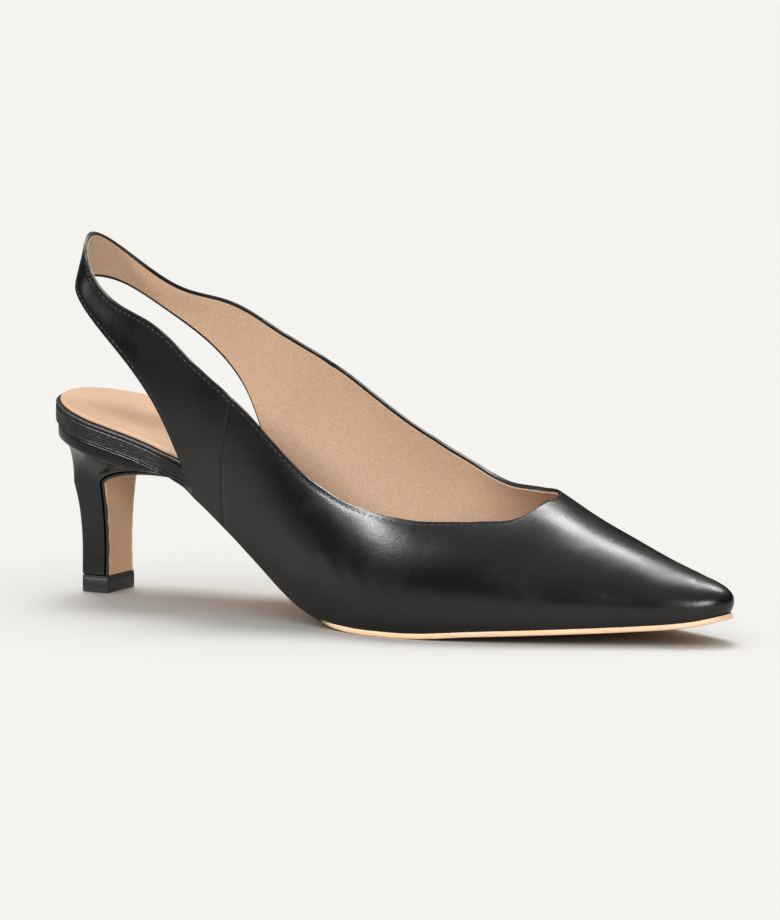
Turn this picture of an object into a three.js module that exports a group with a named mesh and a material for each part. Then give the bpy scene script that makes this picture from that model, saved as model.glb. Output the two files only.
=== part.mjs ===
// Slingback pump, right shoe. Millimetres, +Z up, toe along +X, outer side of the foot along -Y.
// The origin is the middle of the heel tip's face on the floor.
import * as THREE from 'three';

// Overall last and stance
const lastLength = 243; // seat back to toe tip, along the floor
const seatOverhang = 14.8; // how far the seat stands behind the middle of the heel tip
const ballWidth = 82;
const seatWidth = 52.6;
const seatRise = 56; // feather line at the back of the seat above the one at the ball
const toeSpring = 8.4; // feather line at the toe tip above the one at the ball
// Upper
const wall = 1.6;
const throatRise = 38.5; // top of the vamp at the throat above its feather line
const strapRise = 63; // top of the strap at the back above the seat's feather line
// Sole, insole and sock
const soleThickness = 1.7;
const waistThickness = 1.3;
const flapThickness = 1.1;
const soleReach = 0.5; // the sole stands this far out from the upper's foot at the forepart
const waistInset = 1.5;
const insoleThickness = 2.4;
const seatRimHeight = 6.3;
const seatDish = 1.3;
const sockThickness = 1;
const sockInset = 1.6;
// Heel
const topPieceHeight = 5.5;
const tipLength = 10.3;
const tipWidth = 16.6;
const flangeThickness = 4.4;
const wingThickness = 0.8; // the flange's wings at their front end
const wingReach = 36; // how far forward of the heel tip's middle the wings go
const flareHeight = 13.5; // the column starts to flare this far under the flange
const groove = 0.9; // the flange stands in from the seat's rim
// Fits
const clearance = 0.3;

const { clamp, lerp, smoothstep, degToRad } = THREE.MathUtils;
const halfBall = ballWidth / 2;
const halfSeat = seatWidth / 2;
const seatBack = -seatOverhang;
const atLength = (share) => seatBack + (share * lastLength);

// A table's rows as objects: the first string names the columns
function table(heading, ...rows) {
  const names = heading.trim().split(/\s+/);
  return rows.map((row) => Object.fromEntries(names.map((name, i) => [name, row[i]])));
}
const column = (rows, name) => rows.map((row) => row[name]);
const range = (count) => Array.from({ length: count }, (_, i) => i);

// The span of a knot list that holds a value
function spanOf(knots, at) {
  let i = 0;
  while (i < knots.length - 2 && at > knots[i + 1]) i += 1;
  return i;
}

// A natural cubic spline through knots and values
function spline(knots, values) {
  const n = knots.length;
  const bend = new Array(n).fill(0);
  const carry = new Array(n).fill(0);
  for (let i = 1; i < n - 1; i += 1) {
    const back = knots[i] - knots[i - 1];
    const ahead = knots[i + 1] - knots[i];
    const pivot = (2 * (back + ahead)) - (back * carry[i - 1]);
    const kink = ((values[i + 1] - values[i]) / ahead) - ((values[i] - values[i - 1]) / back);
    carry[i] = ahead / pivot;
    bend[i] = ((6 * kink) - (back * bend[i - 1])) / pivot;
  }
  for (let i = n - 2; i > 0; i -= 1) bend[i] -= carry[i] * bend[i + 1];
  return (at) => {
    const t = clamp(at, knots[0], knots[n - 1]);
    const i = spanOf(knots, t);
    const step = knots[i + 1] - knots[i];
    const a = (knots[i + 1] - t) / step;
    const b = 1 - a;
    const curve = ((a ** 3 - a) * bend[i]) + ((b ** 3 - b) * bend[i + 1]);
    return (a * values[i]) + (b * values[i + 1]) + (curve * step * step / 6);
  };
}

// A cubic through knots and values that never overshoots them
function steadySpline(knots, values) {
  const rate = knots.slice(1).map((knot, i) => (values[i + 1] - values[i]) / (knot - knots[i]));
  const slope = values.map((value, i) => {
    if (i === 0 || i === values.length - 1) return rate[Math.min(i, rate.length - 1)];
    if (rate[i - 1] * rate[i] <= 0) return 0;
    return 2 / ((1 / rate[i - 1]) + (1 / rate[i]));
  });
  return (at) => {
    const t = clamp(at, knots[0], knots[knots.length - 1]);
    const i = spanOf(knots, t);
    const step = knots[i + 1] - knots[i];
    const u = (t - knots[i]) / step;
    return (values[i] * (1 + (2 * u)) * (1 - u) ** 2) + (slope[i] * step * u * (1 - u) ** 2)
      + (values[i + 1] * u * u * (3 - (2 * u))) + (slope[i + 1] * step * u * u * (u - 1));
  };
}

// The feather line in profile: shares of the length, of the seat's rise and of the toe spring
const profile = table(
  'along seat toe',
  [0, 1, 0],
  [0.061, 0.936, 0],
  [0.114, 0.878, 0],
  [0.168, 0.817, 0],
  [0.209, 0.757, 0],
  [0.253, 0.66, 0],
  [0.314, 0.46, 0],
  [0.361, 0.293, 0],
  [0.402, 0.156, 0],
  [0.43, 0.085, 0],
  [0.46, 0.038, 0],
  [0.5, 0.008, 0],
  [0.545, 0, 0],
  [0.6, 0, 0],
  [0.7, 0, 0.19],
  [0.8, 0, 0.35],
  [0.9, 0, 0.53],
  [0.955, 0, 0.7],
  [1, 0, 1],
);
const seatCurve = steadySpline(column(profile, 'along'), column(profile, 'seat'));
const toeCurve = steadySpline(column(profile, 'along'), column(profile, 'toe'));
function featherHeight(x) {
  const along = (x - seatBack) / lastLength;
  return soleThickness + clearance + (seatRise * seatCurve(along)) + (toeSpring * toeCurve(along));
}

// The last's sections from the nose round to the heel strap, for the outer and the inner side, each a
// curve from its foot to its crest. The crest is the ridge of the vamp and instep, then runs down beside
// the ankle to the strap's upper edge. foot, topO and topI are places along the shoe, in shares of the
// last's length. footO, footI, wideO and wideI lie across it, in shares of half the ball's width. rise
// names the height that lift (of the foot), upO and upI are shares of, above the feather line. turn is
// where a section faces: 0 the toe, 90 the side, 180 the back. lean is how far it leans out at its foot,
// fallO and fallI how steeply it comes off its crest: 0 level, 90 upright. full is how squarely it rounds.
const rises = { vamp: throatRise, strap: strapRise };
const sections = table(
  'name foot footO footI lift topO topI wideO wideI rise upO upI turn lean fallO fallI full',
  ['nose', 0.992, -0.0585, 0.0585, 0, 0.943, 0.943, -0.078, 0.078, 'vamp', 0.35, 0.35, 0, 30, 17, 17, 1.2],
  ['toeRound', 0.98, 0.078, 0.19, 0, 0.943, 0.943, -0.078, 0.078, 'vamp', 0.35, 0.35, 45, 28, 12, 11, 1.16],
  ['toeSide', 0.944, 0.217, 0.322, 0, 0.943, 0.943, -0.078, 0.078, 'vamp', 0.35, 0.35, 70, 24, 4, 4, 1.12],
  ['toeBack', 0.8963, 0.337, 0.449, 0, 0.9, 0.9, -0.085, 0.085, 'vamp', 0.465, 0.465, 79, 22, 2, 2, 1.06],
  ['vamp', 0.8263, 0.527, 0.641, 0, 0.8263, 0.8263, -0.09, 0.09, 'vamp', 0.675, 0.675, 84, 20, 1, 1, 1.02],
  ['ballFront', 0.766, 0.675, 0.788, 0, 0.7705, 0.7705, -0.085, 0.085, 'vamp', 0.85, 0.85, 88, 19, 1, 1, 1],
  ['apex', 0.7285, 0.765, 0.85, 0, 0.739, 0.739, -0.073, 0.073, 'vamp', 0.972, 0.972, 90, 18, 1, 1, 1],
  ['throatTip', 0.7, 0.822, 0.88, 0, 0.711, 0.711, -0.073, 0.073, 'vamp', 1.075, 1.075, 90, 18, 1, 1, 1],
  ['throatSide', 0.665, 0.884, 0.897, 0, 0.678, 0.678, -0.08, 0.08, 'vamp', 1.185, 1.185, 90, 18, 2, 2, 1],
  ['ball', 0.6041, 0.951, 0.883, 0, 0.6206, 0.6206, -0.08, 0.098, 'vamp', 1.374, 1.374, 90, 18, 6, 6, 1.02],
  ['ballBack', 0.5383, 0.941, 0.805, 0, 0.5547, 0.5547, 0.01, 0.341, 'vamp', 1.623, 1.7, 90, 18, 16, 16, 1.03],
  ['waistFront', 0.4642, 0.82, 0.6585, 0, 0.4889, 0.493, 0.341, 0.6, 'strap', 1.049, 1.13, 91, 20, 38, 46, 1.02],
  ['waist', 0.3737, 0.683, 0.571, 0, 0.4107, 0.4148, 0.6585, 0.744, 'strap', 0.968, 1.04, 92, 20, 66, 70, 1],
  ['corner', 0.2609, 0.644, 0.624, 0, 0.3346, 0.3407, 0.756, 0.744, 'strap', 0.805, 0.878, 92, 13, 80, 80, 1],
  ['rearLow', 0.2354, 0.683, 0.67, 0.183, 0.279, 0.279, 0.722, 0.712, 'strap', 0.708, 0.77, 93, 6, 84, 84, 1],
  ['rearMid', 0.2066, 0.702, 0.692, 0.346, 0.2337, 0.2337, 0.693, 0.688, 'strap', 0.724, 0.752, 96, 3, 84, 84, 1],
  ['strapRoot', 0.1576, 0.6585, 0.652, 0.492, 0.1844, 0.1844, 0.634, 0.632, 'strap', 0.746, 0.76, 104, 2, 84, 84, 1],
  ['strapSide', 0.1, 0.5415, 0.5415, 0.603, 0.127, 0.127, 0.535, 0.535, 'strap', 0.755, 0.755, 122, 0, 84, 84, 1],
  ['strapTurn', 0.0465, 0.325, 0.325, 0.705, 0.0657, 0.0657, 0.34, 0.34, 'strap', 0.872, 0.872, 150, -6, 78, 78, 1],
  ['strapBack', 0.0285, 0, 0, 0.73, 0.039, 0.039, 0, 0, 'strap', 0.975, 0.975, 180, -10, 76, 76, 1],
);
const rowOf = (name) => sections.findIndex((row) => row.name === name);
const lastRow = sections.length - 1;
const OUTER = -1;
const INNER = 1;

// The topline, from the throat's apex back to where it joins the crest. The strip of upper that starts
// at a section's foot ends slip rows nearer the toe, at this share of the section there.
const topline = table(
  'name slipO shareO slipI shareI',
  ['apex', 0, 1, 0, 1],
  ['throatTip', 0.68, 0.695, 0.26, 0.81],
  ['throatSide', 0.43, 0.57, 0.37, 0.685],
  ['ball', 0.28, 0.5, 0.21, 0.593],
  ['ballBack', 0.06, 0.47, 0.15, 0.543],
  ['waistFront', -0.07, 0.58, 0.11, 0.653],
  ['waist', -0.05, 0.75, 0.165, 0.806],
  ['corner', 0.08, 0.905, 0.06, 0.942],
  ['rearLow', 0, 1, 0, 1],
);

// A section's foot and crest on one side, and the way it faces
function footPoint(row, side) {
  const x = atLength(row.foot);
  const y = side * halfBall * (side === OUTER ? row.footO : row.footI);
  return new THREE.Vector3(x, y, featherHeight(x) + (row.lift * strapRise));
}
function crestPoint(row, side) {
  const [along, wide, up] = side === OUTER ? [row.topO, row.wideO, row.upO] : [row.topI, row.wideI, row.upI];
  const x = atLength(along);
  return new THREE.Vector3(x, side * halfBall * wide, featherHeight(x) + (up * rises[row.rise]));
}
function facing(row, side) {
  const turn = degToRad(row.turn);
  return new THREE.Vector3(Math.cos(turn), side * Math.sin(turn), 0);
}

// Distances along the sections, the same for both sides so that they meet on the ridge
const stations = [0];
for (let i = 1; i <= lastRow; i += 1) {
  let step = 0;
  for (const side of [OUTER, INNER]) {
    step += footPoint(sections[i], side).distanceTo(footPoint(sections[i - 1], side)) / 4;
    step += crestPoint(sections[i], side).distanceTo(crestPoint(sections[i - 1], side)) / 4;
  }
  stations.push(stations[i - 1] + step);
}
const lapLength = 2 * stations[lastRow];

// The distance of a place counted in rows, such as 6.5 for half way between rows 6 and 7
function stationAt(place) {
  const i = clamp(Math.floor(place), 0, lastRow - 1);
  return lerp(stations[i], stations[i + 1], place - i);
}

// Rows are counted from the nose, positive on the outer side and negative on the inner one.
// Rows past the back go on round to the other side, and so do their distances.
function signedRow(index) {
  const lap = 2 * lastRow;
  const lapped = ((((index + lastRow) % lap) + lap) % lap) - lastRow;
  const at = Math.sign(lapped) * stations[Math.abs(lapped)];
  const laps = Math.round((index - lapped) / lap);
  return { row: sections[Math.abs(lapped)], side: lapped < 0 ? INNER : OUTER, at: at + (laps * lapLength) };
}

// A curve of vectors or numbers through a run of signed rows
function runCurve(from, to, pick) {
  const picked = range(to - from + 1).map((i) => signedRow(from + i));
  const knots = picked.map((item) => item.at);
  const values = picked.map((item) => pick(item.row, item.side));
  if (typeof values[0] === 'number') return spline(knots, values);
  const [x, y, z] = ['x', 'y', 'z'].map((axis) => spline(knots, values.map((value) => value[axis])));
  return (at) => new THREE.Vector3(x(at), y(at), z(at));
}

// The sections' feet: one run along the feather line, one up the quarters' rear edges and round the strap
const corner = rowOf('corner');
const featherRun = runCurve(-corner, corner, footPoint);
const rearRun = runCurve(corner, (2 * lastRow) - corner, footPoint);
function footAt(at) {
  if (Math.abs(at) <= stations[corner]) {
    const foot = featherRun(at);
    return foot.setZ(featherHeight(foot.x));
  }
  return rearRun(at < 0 ? at + lapLength : at);
}

// The crest: one point for all the sections round the toe, one ridge for both sides as far as the
// throat's apex, and from there a run round the whole opening
const toePole = rowOf('toeSide');
const apex = rowOf('apex');
const crestRun = runCurve(toePole, (2 * lastRow) - toePole, crestPoint);
function crestAt(at) {
  const place = Math.max(Math.abs(at), stations[toePole]);
  if (place > stations[apex]) return crestRun(at < 0 ? lapLength - place : place);
  return crestRun(place).lerp(crestRun(lapLength - place), 0.5);
}

const facingRun = runCurve(-lastRow - 2, lastRow + 2, facing);
const leanRun = runCurve(-lastRow, lastRow, (row) => row.lean);
const fallRun = runCurve(-lastRow, lastRow, (row, side) => (side === OUTER ? row.fallO : row.fallI));
const fullRun = runCurve(-lastRow, lastRow, (row) => row.full);

// A section is a cubic from foot to crest, with handles as long as an arc of the same turn would have
function sectionAt(at) {
  const foot = footAt(at);
  const crest = crestAt(at);
  const out = facingRun(at).normalize();
  const chord = crest.clone().sub(foot);
  const up = chord.clone().addScaledVector(out, -chord.dot(out)).normalize();
  const lean = degToRad(leanRun(at));
  const fall = degToRad(fallRun(at));
  const turn = lean + (Math.PI / 2) - fall;
  const handle = fullRun(at) * chord.length() / (3 * Math.cos(turn / 4) ** 2);
  const reach = (from, angle, rise) => from.clone()
    .addScaledVector(out, handle * Math.sin(angle))
    .addScaledVector(up, rise * handle * Math.cos(angle));
  const low = reach(foot, lean, 1);
  const high = reach(crest, (Math.PI / 2) - fall, -1);
  return new THREE.CubicBezierCurve3(foot, low, high, crest);
}

// Where the strip of upper with its foot at a place in rows ends: its place there and share of the section
const toplineRows = range(topline.length).map((i) => apex + i);
const edgeRuns = Object.fromEntries(['slipO', 'shareO', 'slipI', 'shareI'].map(
  (name) => [name, spline(toplineRows, column(topline, name))],
));
function edgeOf(place, side) {
  if (place <= apex || place >= apex + topline.length - 1) return { place, share: 1 };
  const letter = side === OUTER ? 'O' : 'I';
  return { place: place - edgeRuns[`slip${letter}`](place), share: edgeRuns[`share${letter}`](place) };
}

// Meshes are lists of points and triangles; points that fall together become one
class Sheet {
  constructor() {
    this.points = [];
    this.faces = [];
    this.seen = new Map();
  }

  point(vector) {
    const key = vector.toArray().map((value) => Math.round(value * 1e4)).join();
    if (!this.seen.has(key)) {
      this.seen.set(key, this.points.length);
      this.points.push(vector.clone());
    }
    return this.seen.get(key);
  }

  face(a, b, c) {
    if (a !== b && b !== c && c !== a) this.faces.push([a, b, c]);
  }

  // Two triangles that share the shorter diagonal
  quad(a, b, c, d) {
    const span = (from, to) => this.points[from].distanceToSquared(this.points[to]);
    if (span(a, c) <= span(b, d)) {
      this.face(a, b, c);
      this.face(a, c, d);
    } else {
      this.face(b, c, d);
      this.face(b, d, a);
    }
  }

  // A net of rows of points, each row joined to the next, round to the first again if it is a ring
  net(rows, ring = false) {
    const ids = rows.map((row) => row.map((vector) => this.point(vector)));
    for (let i = 0; i < ids.length - (ring ? 0 : 1); i += 1) {
      const here = ids[i];
      const next = ids[(i + 1) % ids.length];
      for (let j = 0; j < here.length - 1; j += 1) this.quad(here[j], next[j], next[j + 1], here[j + 1]);
    }
    return this;
  }

  normals() {
    const sums = this.points.map(() => new THREE.Vector3());
    for (const face of this.faces) {
      const [a, b, c] = face.map((id) => this.points[id]);
      const normal = b.clone().sub(a).cross(c.clone().sub(a));
      for (const id of face) sums[id].add(normal);
    }
    return sums.map((sum) => sum.normalize());
  }

  // The sheet as a solid: a second skin where offset puts it, and walls along the open edges
  thicken(offset) {
    const normals = this.normals();
    const count = this.points.length;
    const solid = new Sheet();
    const moved = this.points.map((vector, i) => vector.clone().add(offset(vector, normals[i])));
    solid.points = [...this.points, ...moved];
    const open = new Map();
    for (const [a, b, c] of this.faces) {
      solid.faces.push([a, b, c], [a + count, c + count, b + count]);
      for (const [from, to] of [[a, b], [b, c], [c, a]]) {
        if (!open.delete(`${to},${from}`)) open.set(`${from},${to}`, [from, to]);
      }
    }
    for (const [from, to] of open.values()) {
      solid.faces.push([to, from, from + count], [to, from + count, to + count]);
    }
    return solid;
  }

  geometry() {
    const geometry = new THREE.BufferGeometry();
    const places = this.points.flatMap((vector) => vector.toArray());
    geometry.setAttribute('position', new THREE.Float32BufferAttribute(places, 3));
    geometry.setIndex(this.faces.flat());
    geometry.computeVertexNormals();
    return geometry;
  }
}

// Upper: the vamp, both quarters and the heel strap in one, hollow and open above, behind and below
const stepsPerRow = 3;
const stepsUp = 9;
function upperStrip(place, side) {
  const edge = edgeOf(place, side);
  return range(stepsUp + 1).map((j) => {
    const share = 1 - (j / stepsUp);
    return sectionAt(side * -stationAt(lerp(place, edge.place, share))).getPoint(share * edge.share);
  });
}
function upperGeometry() {
  const places = range(lastRow * stepsPerRow).map((i) => i / stepsPerRow);
  const outer = places.map((place) => upperStrip(place, OUTER));
  const inner = places.map((place) => upperStrip(lastRow - place, INNER));
  const skin = new Sheet().net([...outer, ...inner], true);
  return skin.thicken((vector, normal) => normal.multiplyScalar(-wall)).geometry();
}

// The shoe's outline at the feather line, in pairs of points with one place along the shoe.
// Grow moves it out from the upper's foot. Places behind the corner follow the seat.
const stationOf = (x) => {
  let [near, far] = [0, stations[corner]];
  for (const _ of range(30)) {
    const middle = (near + far) / 2;
    if (featherRun(middle).x > x) near = middle;
    else far = middle;
  }
  return near;
};
function featherPair(at, grow) {
  return [OUTER, INNER].map((side) => {
    const signed = side === OUTER ? at : -at;
    return footAt(signed).addScaledVector(facingRun(signed).normalize(), grow);
  });
}
function seatHalfWidth(x, inset) {
  const radius = halfSeat - inset;
  const behind = Math.max(0, seatBack + halfSeat - x);
  return behind < radius ? Math.sqrt((radius ** 2) - (behind ** 2)) : 0;
}

// Stations from the nose back to a place along the shoe, closer together round the nose
const noseSteps = 12;
const foreSteps = 26;
function foreStations(until) {
  const end = stationOf(until);
  const nose = stations[rowOf('toeBack')];
  const round = range(noseSteps).map((i) => nose * (i / noseSteps) ** 1.5);
  return [...round, ...range(foreSteps + 1).map((i) => lerp(nose, end, i / foreSteps))];
}
const across = 6;
// Points from the outer to the inner side. Height is told the place and its share of the half width.
function strip(outer, inner, height) {
  const pointed = outer.distanceTo(inner) < 0.01;
  return range(across + 1).map((j) => {
    const place = outer.clone().lerp(inner, j / across);
    return place.setZ(height(place, pointed ? 1 : (2 * j / across) - 1));
  });
}

// Outsole: forepart, waist and the flap that turns down the front of the heel
const heelTop = (x) => featherHeight(x) - clearance;
function flangeUnder(x) {
  return heelTop(x) - lerp(flangeThickness, wingThickness, smoothstep(x, wingReach * 0.6, wingReach));
}
const neckHeight = heelTop(0) - flangeThickness - flareHeight;
const columnFront = (tipLength / 2) - flapThickness - clearance;
const columnFoot = topPieceHeight + clearance;
// The heel column's plan from the tip up to the neck: shares of its height, of the tip's length and width
const heelColumn = table(
  'up back half',
  [0, 0.5, 0.5],
  [0.33, 0.51, 0.478],
  [0.6, 0.535, 0.51],
  [0.82, 0.59, 0.57],
  [1, 0.67, 0.64],
);
const columnBack = spline(column(heelColumn, 'up'), column(heelColumn, 'back'));
const columnHalf = spline(column(heelColumn, 'up'), column(heelColumn, 'half'));
const halfAt = (up) => tipWidth * columnHalf(up);
const flangeHalf = halfSeat - groove;

// The middle line of the heel's front from the wings' ends (bend 1) round to the column (bend 0)
function heelFront(bend) {
  const angle = bend * Math.PI / 2;
  const spread = 1 - Math.cos(angle);
  const x = lerp(columnFront, wingReach, spread);
  const z = lerp(neckHeight, flangeUnder(wingReach), Math.sin(angle));
  return { x, z, half: lerp(halfAt(1), flangeHalf, spread), spread };
}
const flapInset = 0.5;
const flapNarrowing = 4.2; // extra inset where the flap runs out under the waist
const blendLength = 9; // the waist rises from under the wings over this length
const wingGap = 0.5;
function soleTop(x) {
  const under = 1 - smoothstep(x, wingReach + wingGap, wingReach + blendLength);
  return heelTop(x) - (under * (wingThickness + clearance));
}
function soleRows() {
  const waist = wingReach + wingGap;
  const rows = foreStations(atLength(sections[corner].foot)).map((at) => {
    const x = featherRun(at).x;
    const grow = lerp(-waistInset, soleReach, smoothstep(x, atLength(0.44), atLength(0.54)));
    return strip(...featherPair(at, grow), (place) => soleTop(place.x));
  });
  const end = featherPair(stations[corner], -waistInset);
  for (const i of [1, 2, 3]) {
    const x = lerp(end[0].x, waist, i / 3);
    const half = heelFront(1).half - flapInset - flapNarrowing;
    const pair = end.map((point) => new THREE.Vector3(x, lerp(point.y, Math.sign(point.y) * half, i / 3), 0));
    rows.push(strip(...pair, (place) => soleTop(place.x)));
  }
  const bends = 12;
  for (const i of range(bends)) {
    const edge = heelFront(1 - ((i + 0.6) / bends));
    const ahead = heelFront(1 - ((i + 0.7) / bends));
    const way = new THREE.Vector2(ahead.x - edge.x, ahead.z - edge.z).normalize();
    const half = edge.half - flapInset - (flapNarrowing * edge.spread);
    const x = edge.x - (clearance * way.y);
    const z = edge.z + (clearance * way.x);
    rows.push(range(across + 1).map((j) => new THREE.Vector3(x, lerp(-half, half, j / across), z)));
  }
  for (const i of range(5)) {
    const z = lerp(neckHeight, columnFoot, i / 4);
    const half = halfAt((z - columnFoot) / (neckHeight - columnFoot)) - flapInset;
    const x = columnFront + clearance;
    rows.push(range(across + 1).map((j) => new THREE.Vector3(x, lerp(-half, half, j / across), z)));
  }
  return rows;
}
function soleThicknessAt(point) {
  if (point.x < wingReach) return flapThickness;
  const waist = lerp(flapThickness, waistThickness, smoothstep(point.x, wingReach, atLength(0.3)));
  return lerp(waist, soleThickness, smoothstep(point.x, atLength(0.44), atLength(0.52)));
}
function outsoleGeometry() {
  const top = new Sheet().net(soleRows().map((row) => row.reverse()));
  return top.thicken((vector, normal) => normal.multiplyScalar(-soleThicknessAt(vector))).geometry();
}

// Insole: inside the upper at the forepart, a thick covered rim round the open seat
const innerGap = wall + (2 * clearance);
const rimStart = atLength(0.24);
const rimFull = atLength(0.205);
function innerPairs(inset) {
  const cornerX = atLength(sections[corner].foot);
  const pairs = foreStations(cornerX).map((at) => featherPair(at, -innerGap - inset));
  const end = pairs[pairs.length - 1];
  const radius = halfSeat - inset;
  const centre = seatBack + halfSeat;
  const straight = range(9).slice(1).map((i) => lerp(end[0].x, centre, i / 8));
  const round = range(10).slice(1).map((i) => centre - (radius * Math.sin(i * Math.PI / 18)));
  for (const x of [...straight, ...round]) {
    const out = 1 - smoothstep(x, rimFull, rimStart);
    pairs.push(end.map((point) => {
      const half = seatHalfWidth(x, inset);
      return new THREE.Vector3(x, lerp(point.y, Math.sign(point.y) * half, out), 0);
    }));
  }
  return pairs;
}
const insoleHeight = (x) => lerp(seatRimHeight, insoleThickness, smoothstep(x, rimStart, atLength(0.33)));
function insoleTop(x, side) {
  const dished = smoothstep(x, seatBack, seatBack + halfSeat) * (1 - smoothstep(x, rimFull, atLength(0.4)));
  return featherHeight(x) + insoleHeight(x) - (seatDish * dished * (1 - (side ** 2)));
}
function layerGeometry(inset, under, over) {
  const rows = innerPairs(inset).map(([outer, inner]) => [outer, inner]);
  const layer = (height) => rows.map(([outer, inner]) => strip(outer, inner, height));
  const bottom = layer(under);
  const top = layer(over).map((row) => [...row].reverse());
  const solid = new Sheet().net(bottom).net(top);
  const rim = rows.map((row, i) => [bottom[i][across], top[i][0]]);
  const otherRim = rows.map((row, i) => [top[i][across], bottom[i][0]]);
  return solid.net(rim).net(otherRim).geometry();
}
function insoleGeometry() {
  return layerGeometry(0, (place) => featherHeight(place.x), (place, side) => insoleTop(place.x, side));
}
function sockGeometry() {
  const seat = (place, side) => insoleTop(place.x, side) + clearance;
  return layerGeometry(sockInset, seat, (place, side) => seat(place, side) + sockThickness);
}

// A plan outline from the outer front corner round the back to the inner front corner
const sideSteps = 5;
const backSteps = 9;
function planOutline(front, back, half, square) {
  const depth = Math.min(half, (front - back) / 2);
  const centre = back + depth;
  const points = range(sideSteps).map((i) => [lerp(front, centre, i / sideSteps), half]);
  for (const i of range(backSteps + 1)) {
    const angle = i * Math.PI / 2 / backSteps;
    points.push([centre - (depth * Math.sin(angle) ** (2 / square)), half * Math.cos(angle) ** (2 / square)]);
  }
  const outer = points.map(([x, y]) => new THREE.Vector3(x, -y, 0));
  const inner = points.slice(0, -1).reverse().map(([x, y]) => new THREE.Vector3(x, y, 0));
  return [...outer, ...inner];
}

// A solid through plan outlines, from the lowest to the highest, closed by strips across
function loft(rings) {
  const solid = new Sheet().net(rings.map((ring) => [...ring, ring[0]]));
  const span = (ring) => {
    const half = (ring.length - 1) / 2;
    return range(half + 1).map((i) => [ring[i], ring[ring.length - 1 - i]]);
  };
  solid.net(span(rings[0]).map(([outer, inner]) => [outer, inner]));
  solid.net(span(rings[rings.length - 1]).map(([outer, inner]) => [inner, outer]));
  return solid.geometry();
}

// Heel: a column that flares into a flange under the seat
const columnSquare = 9;
const columnSteps = 8;
const flareSteps = 7;
function heelGeometry() {
  const rings = [];
  for (const i of range(columnSteps + 1)) {
    const up = i / columnSteps;
    const ring = planOutline(columnFront, -tipLength * columnBack(up), halfAt(up), columnSquare);
    rings.push(ring.map((point) => point.setZ(lerp(columnFoot, neckHeight, up))));
  }
  const neck = rings[columnSteps];
  const flange = planOutline(wingReach, seatBack + groove, flangeHalf, 2);
  for (const i of range(flareSteps + 1).slice(1)) {
    const angle = i / flareSteps * Math.PI / 2;
    rings.push(flange.map((point, k) => {
      const place = neck[k].clone().lerp(point, 1 - Math.cos(angle));
      return place.setZ(lerp(neckHeight, flangeUnder(point.x), Math.sin(angle)));
    }));
  }
  rings.push(flange.map((point) => point.clone().setZ(heelTop(point.x))));
  return loft(rings);
}

// Top piece: the lift that the heel stands on
const liftEase = 0.35;
function topPieceGeometry() {
  const back = -tipLength / 2;
  const levels = table('z ease', [0, liftEase], [liftEase, 0], [topPieceHeight, 0]);
  return loft(levels.map(({ z, ease }) => {
    const ring = planOutline((tipLength / 2) - ease, back + ease, (tipWidth / 2) - ease, columnSquare);
    return ring.map((point) => point.setZ(z));
  }));
}

function piece(name, geometry, color, roughness) {
  const mesh = new THREE.Mesh(geometry, new THREE.MeshStandardMaterial({ color, roughness, metalness: 0 }));
  mesh.name = name;
  return mesh;
}

const black = '#1c1b1a';
const tan = '#d9b48a';
const shoe = new THREE.Group();
shoe.add(
  piece('upper', upperGeometry(), black, 0.42),
  piece('insole', insoleGeometry(), black, 0.5),
  piece('sock_lining', sockGeometry(), tan, 0.6),
  piece('outsole', outsoleGeometry(), tan, 0.6),
  piece('heel', heelGeometry(), black, 0.4),
  piece('top_piece', topPieceGeometry(), '#151515', 0.7),
);

export default shoe;
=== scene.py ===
"""Slingback pump, right shoe: leather, lining, stitching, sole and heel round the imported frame."""

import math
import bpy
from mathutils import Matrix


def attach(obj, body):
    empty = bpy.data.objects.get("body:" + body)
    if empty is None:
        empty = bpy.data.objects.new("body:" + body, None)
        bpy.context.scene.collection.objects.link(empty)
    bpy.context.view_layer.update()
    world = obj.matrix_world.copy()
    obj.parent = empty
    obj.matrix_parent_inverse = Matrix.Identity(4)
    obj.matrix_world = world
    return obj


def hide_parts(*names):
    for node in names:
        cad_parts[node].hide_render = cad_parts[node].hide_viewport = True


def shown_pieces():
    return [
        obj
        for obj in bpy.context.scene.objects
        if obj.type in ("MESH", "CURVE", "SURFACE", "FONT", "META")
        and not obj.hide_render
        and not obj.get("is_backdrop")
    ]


bl_info = {
    "name": "Slingback Pump",
    "version": (1, 0, 0),
    "blender": (4, 5, 0),
    "location": "3D Viewport > Sidebar > Pump",
    "description": "Builds a pointed slingback pump with a covered heel over its CAD frame",
    "category": "Object",
}

import bmesh
import bpy
import numpy as np
from bpy.props import FloatProperty, FloatVectorProperty, IntProperty, PointerProperty
from bpy.types import Operator, Panel, PropertyGroup
from mathutils import Matrix, Vector

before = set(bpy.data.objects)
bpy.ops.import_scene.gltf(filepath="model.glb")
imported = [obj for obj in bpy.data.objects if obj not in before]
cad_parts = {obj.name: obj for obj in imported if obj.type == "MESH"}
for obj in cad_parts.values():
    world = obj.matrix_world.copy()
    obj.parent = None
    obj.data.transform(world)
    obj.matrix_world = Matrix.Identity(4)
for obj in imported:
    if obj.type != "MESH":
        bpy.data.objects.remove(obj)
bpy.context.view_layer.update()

MM = 0.001

# Sizes of the last, in millimetres
LENGTH = 243.0
SEAT_BACK = -14.8
HALF_BALL = 41.0
HALF_SEAT = 26.3
SEAT_RISE = 56.0
TOE_SPRING = 8.4
THROAT_RISE = 38.5
STRAP_RISE = 63.0
WALL = 1.6
# Sole, insole and sock
SOLE = 1.7
WAIST_SOLE = 1.3
FLAP = 1.1
SOLE_REACH = 0.5
WAIST_INSET = 1.5
INSOLE = 2.4
SEAT_RIM = 6.3
SEAT_DISH = 1.3
SOCK = 1.0
SOCK_INSET = 1.6
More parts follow.
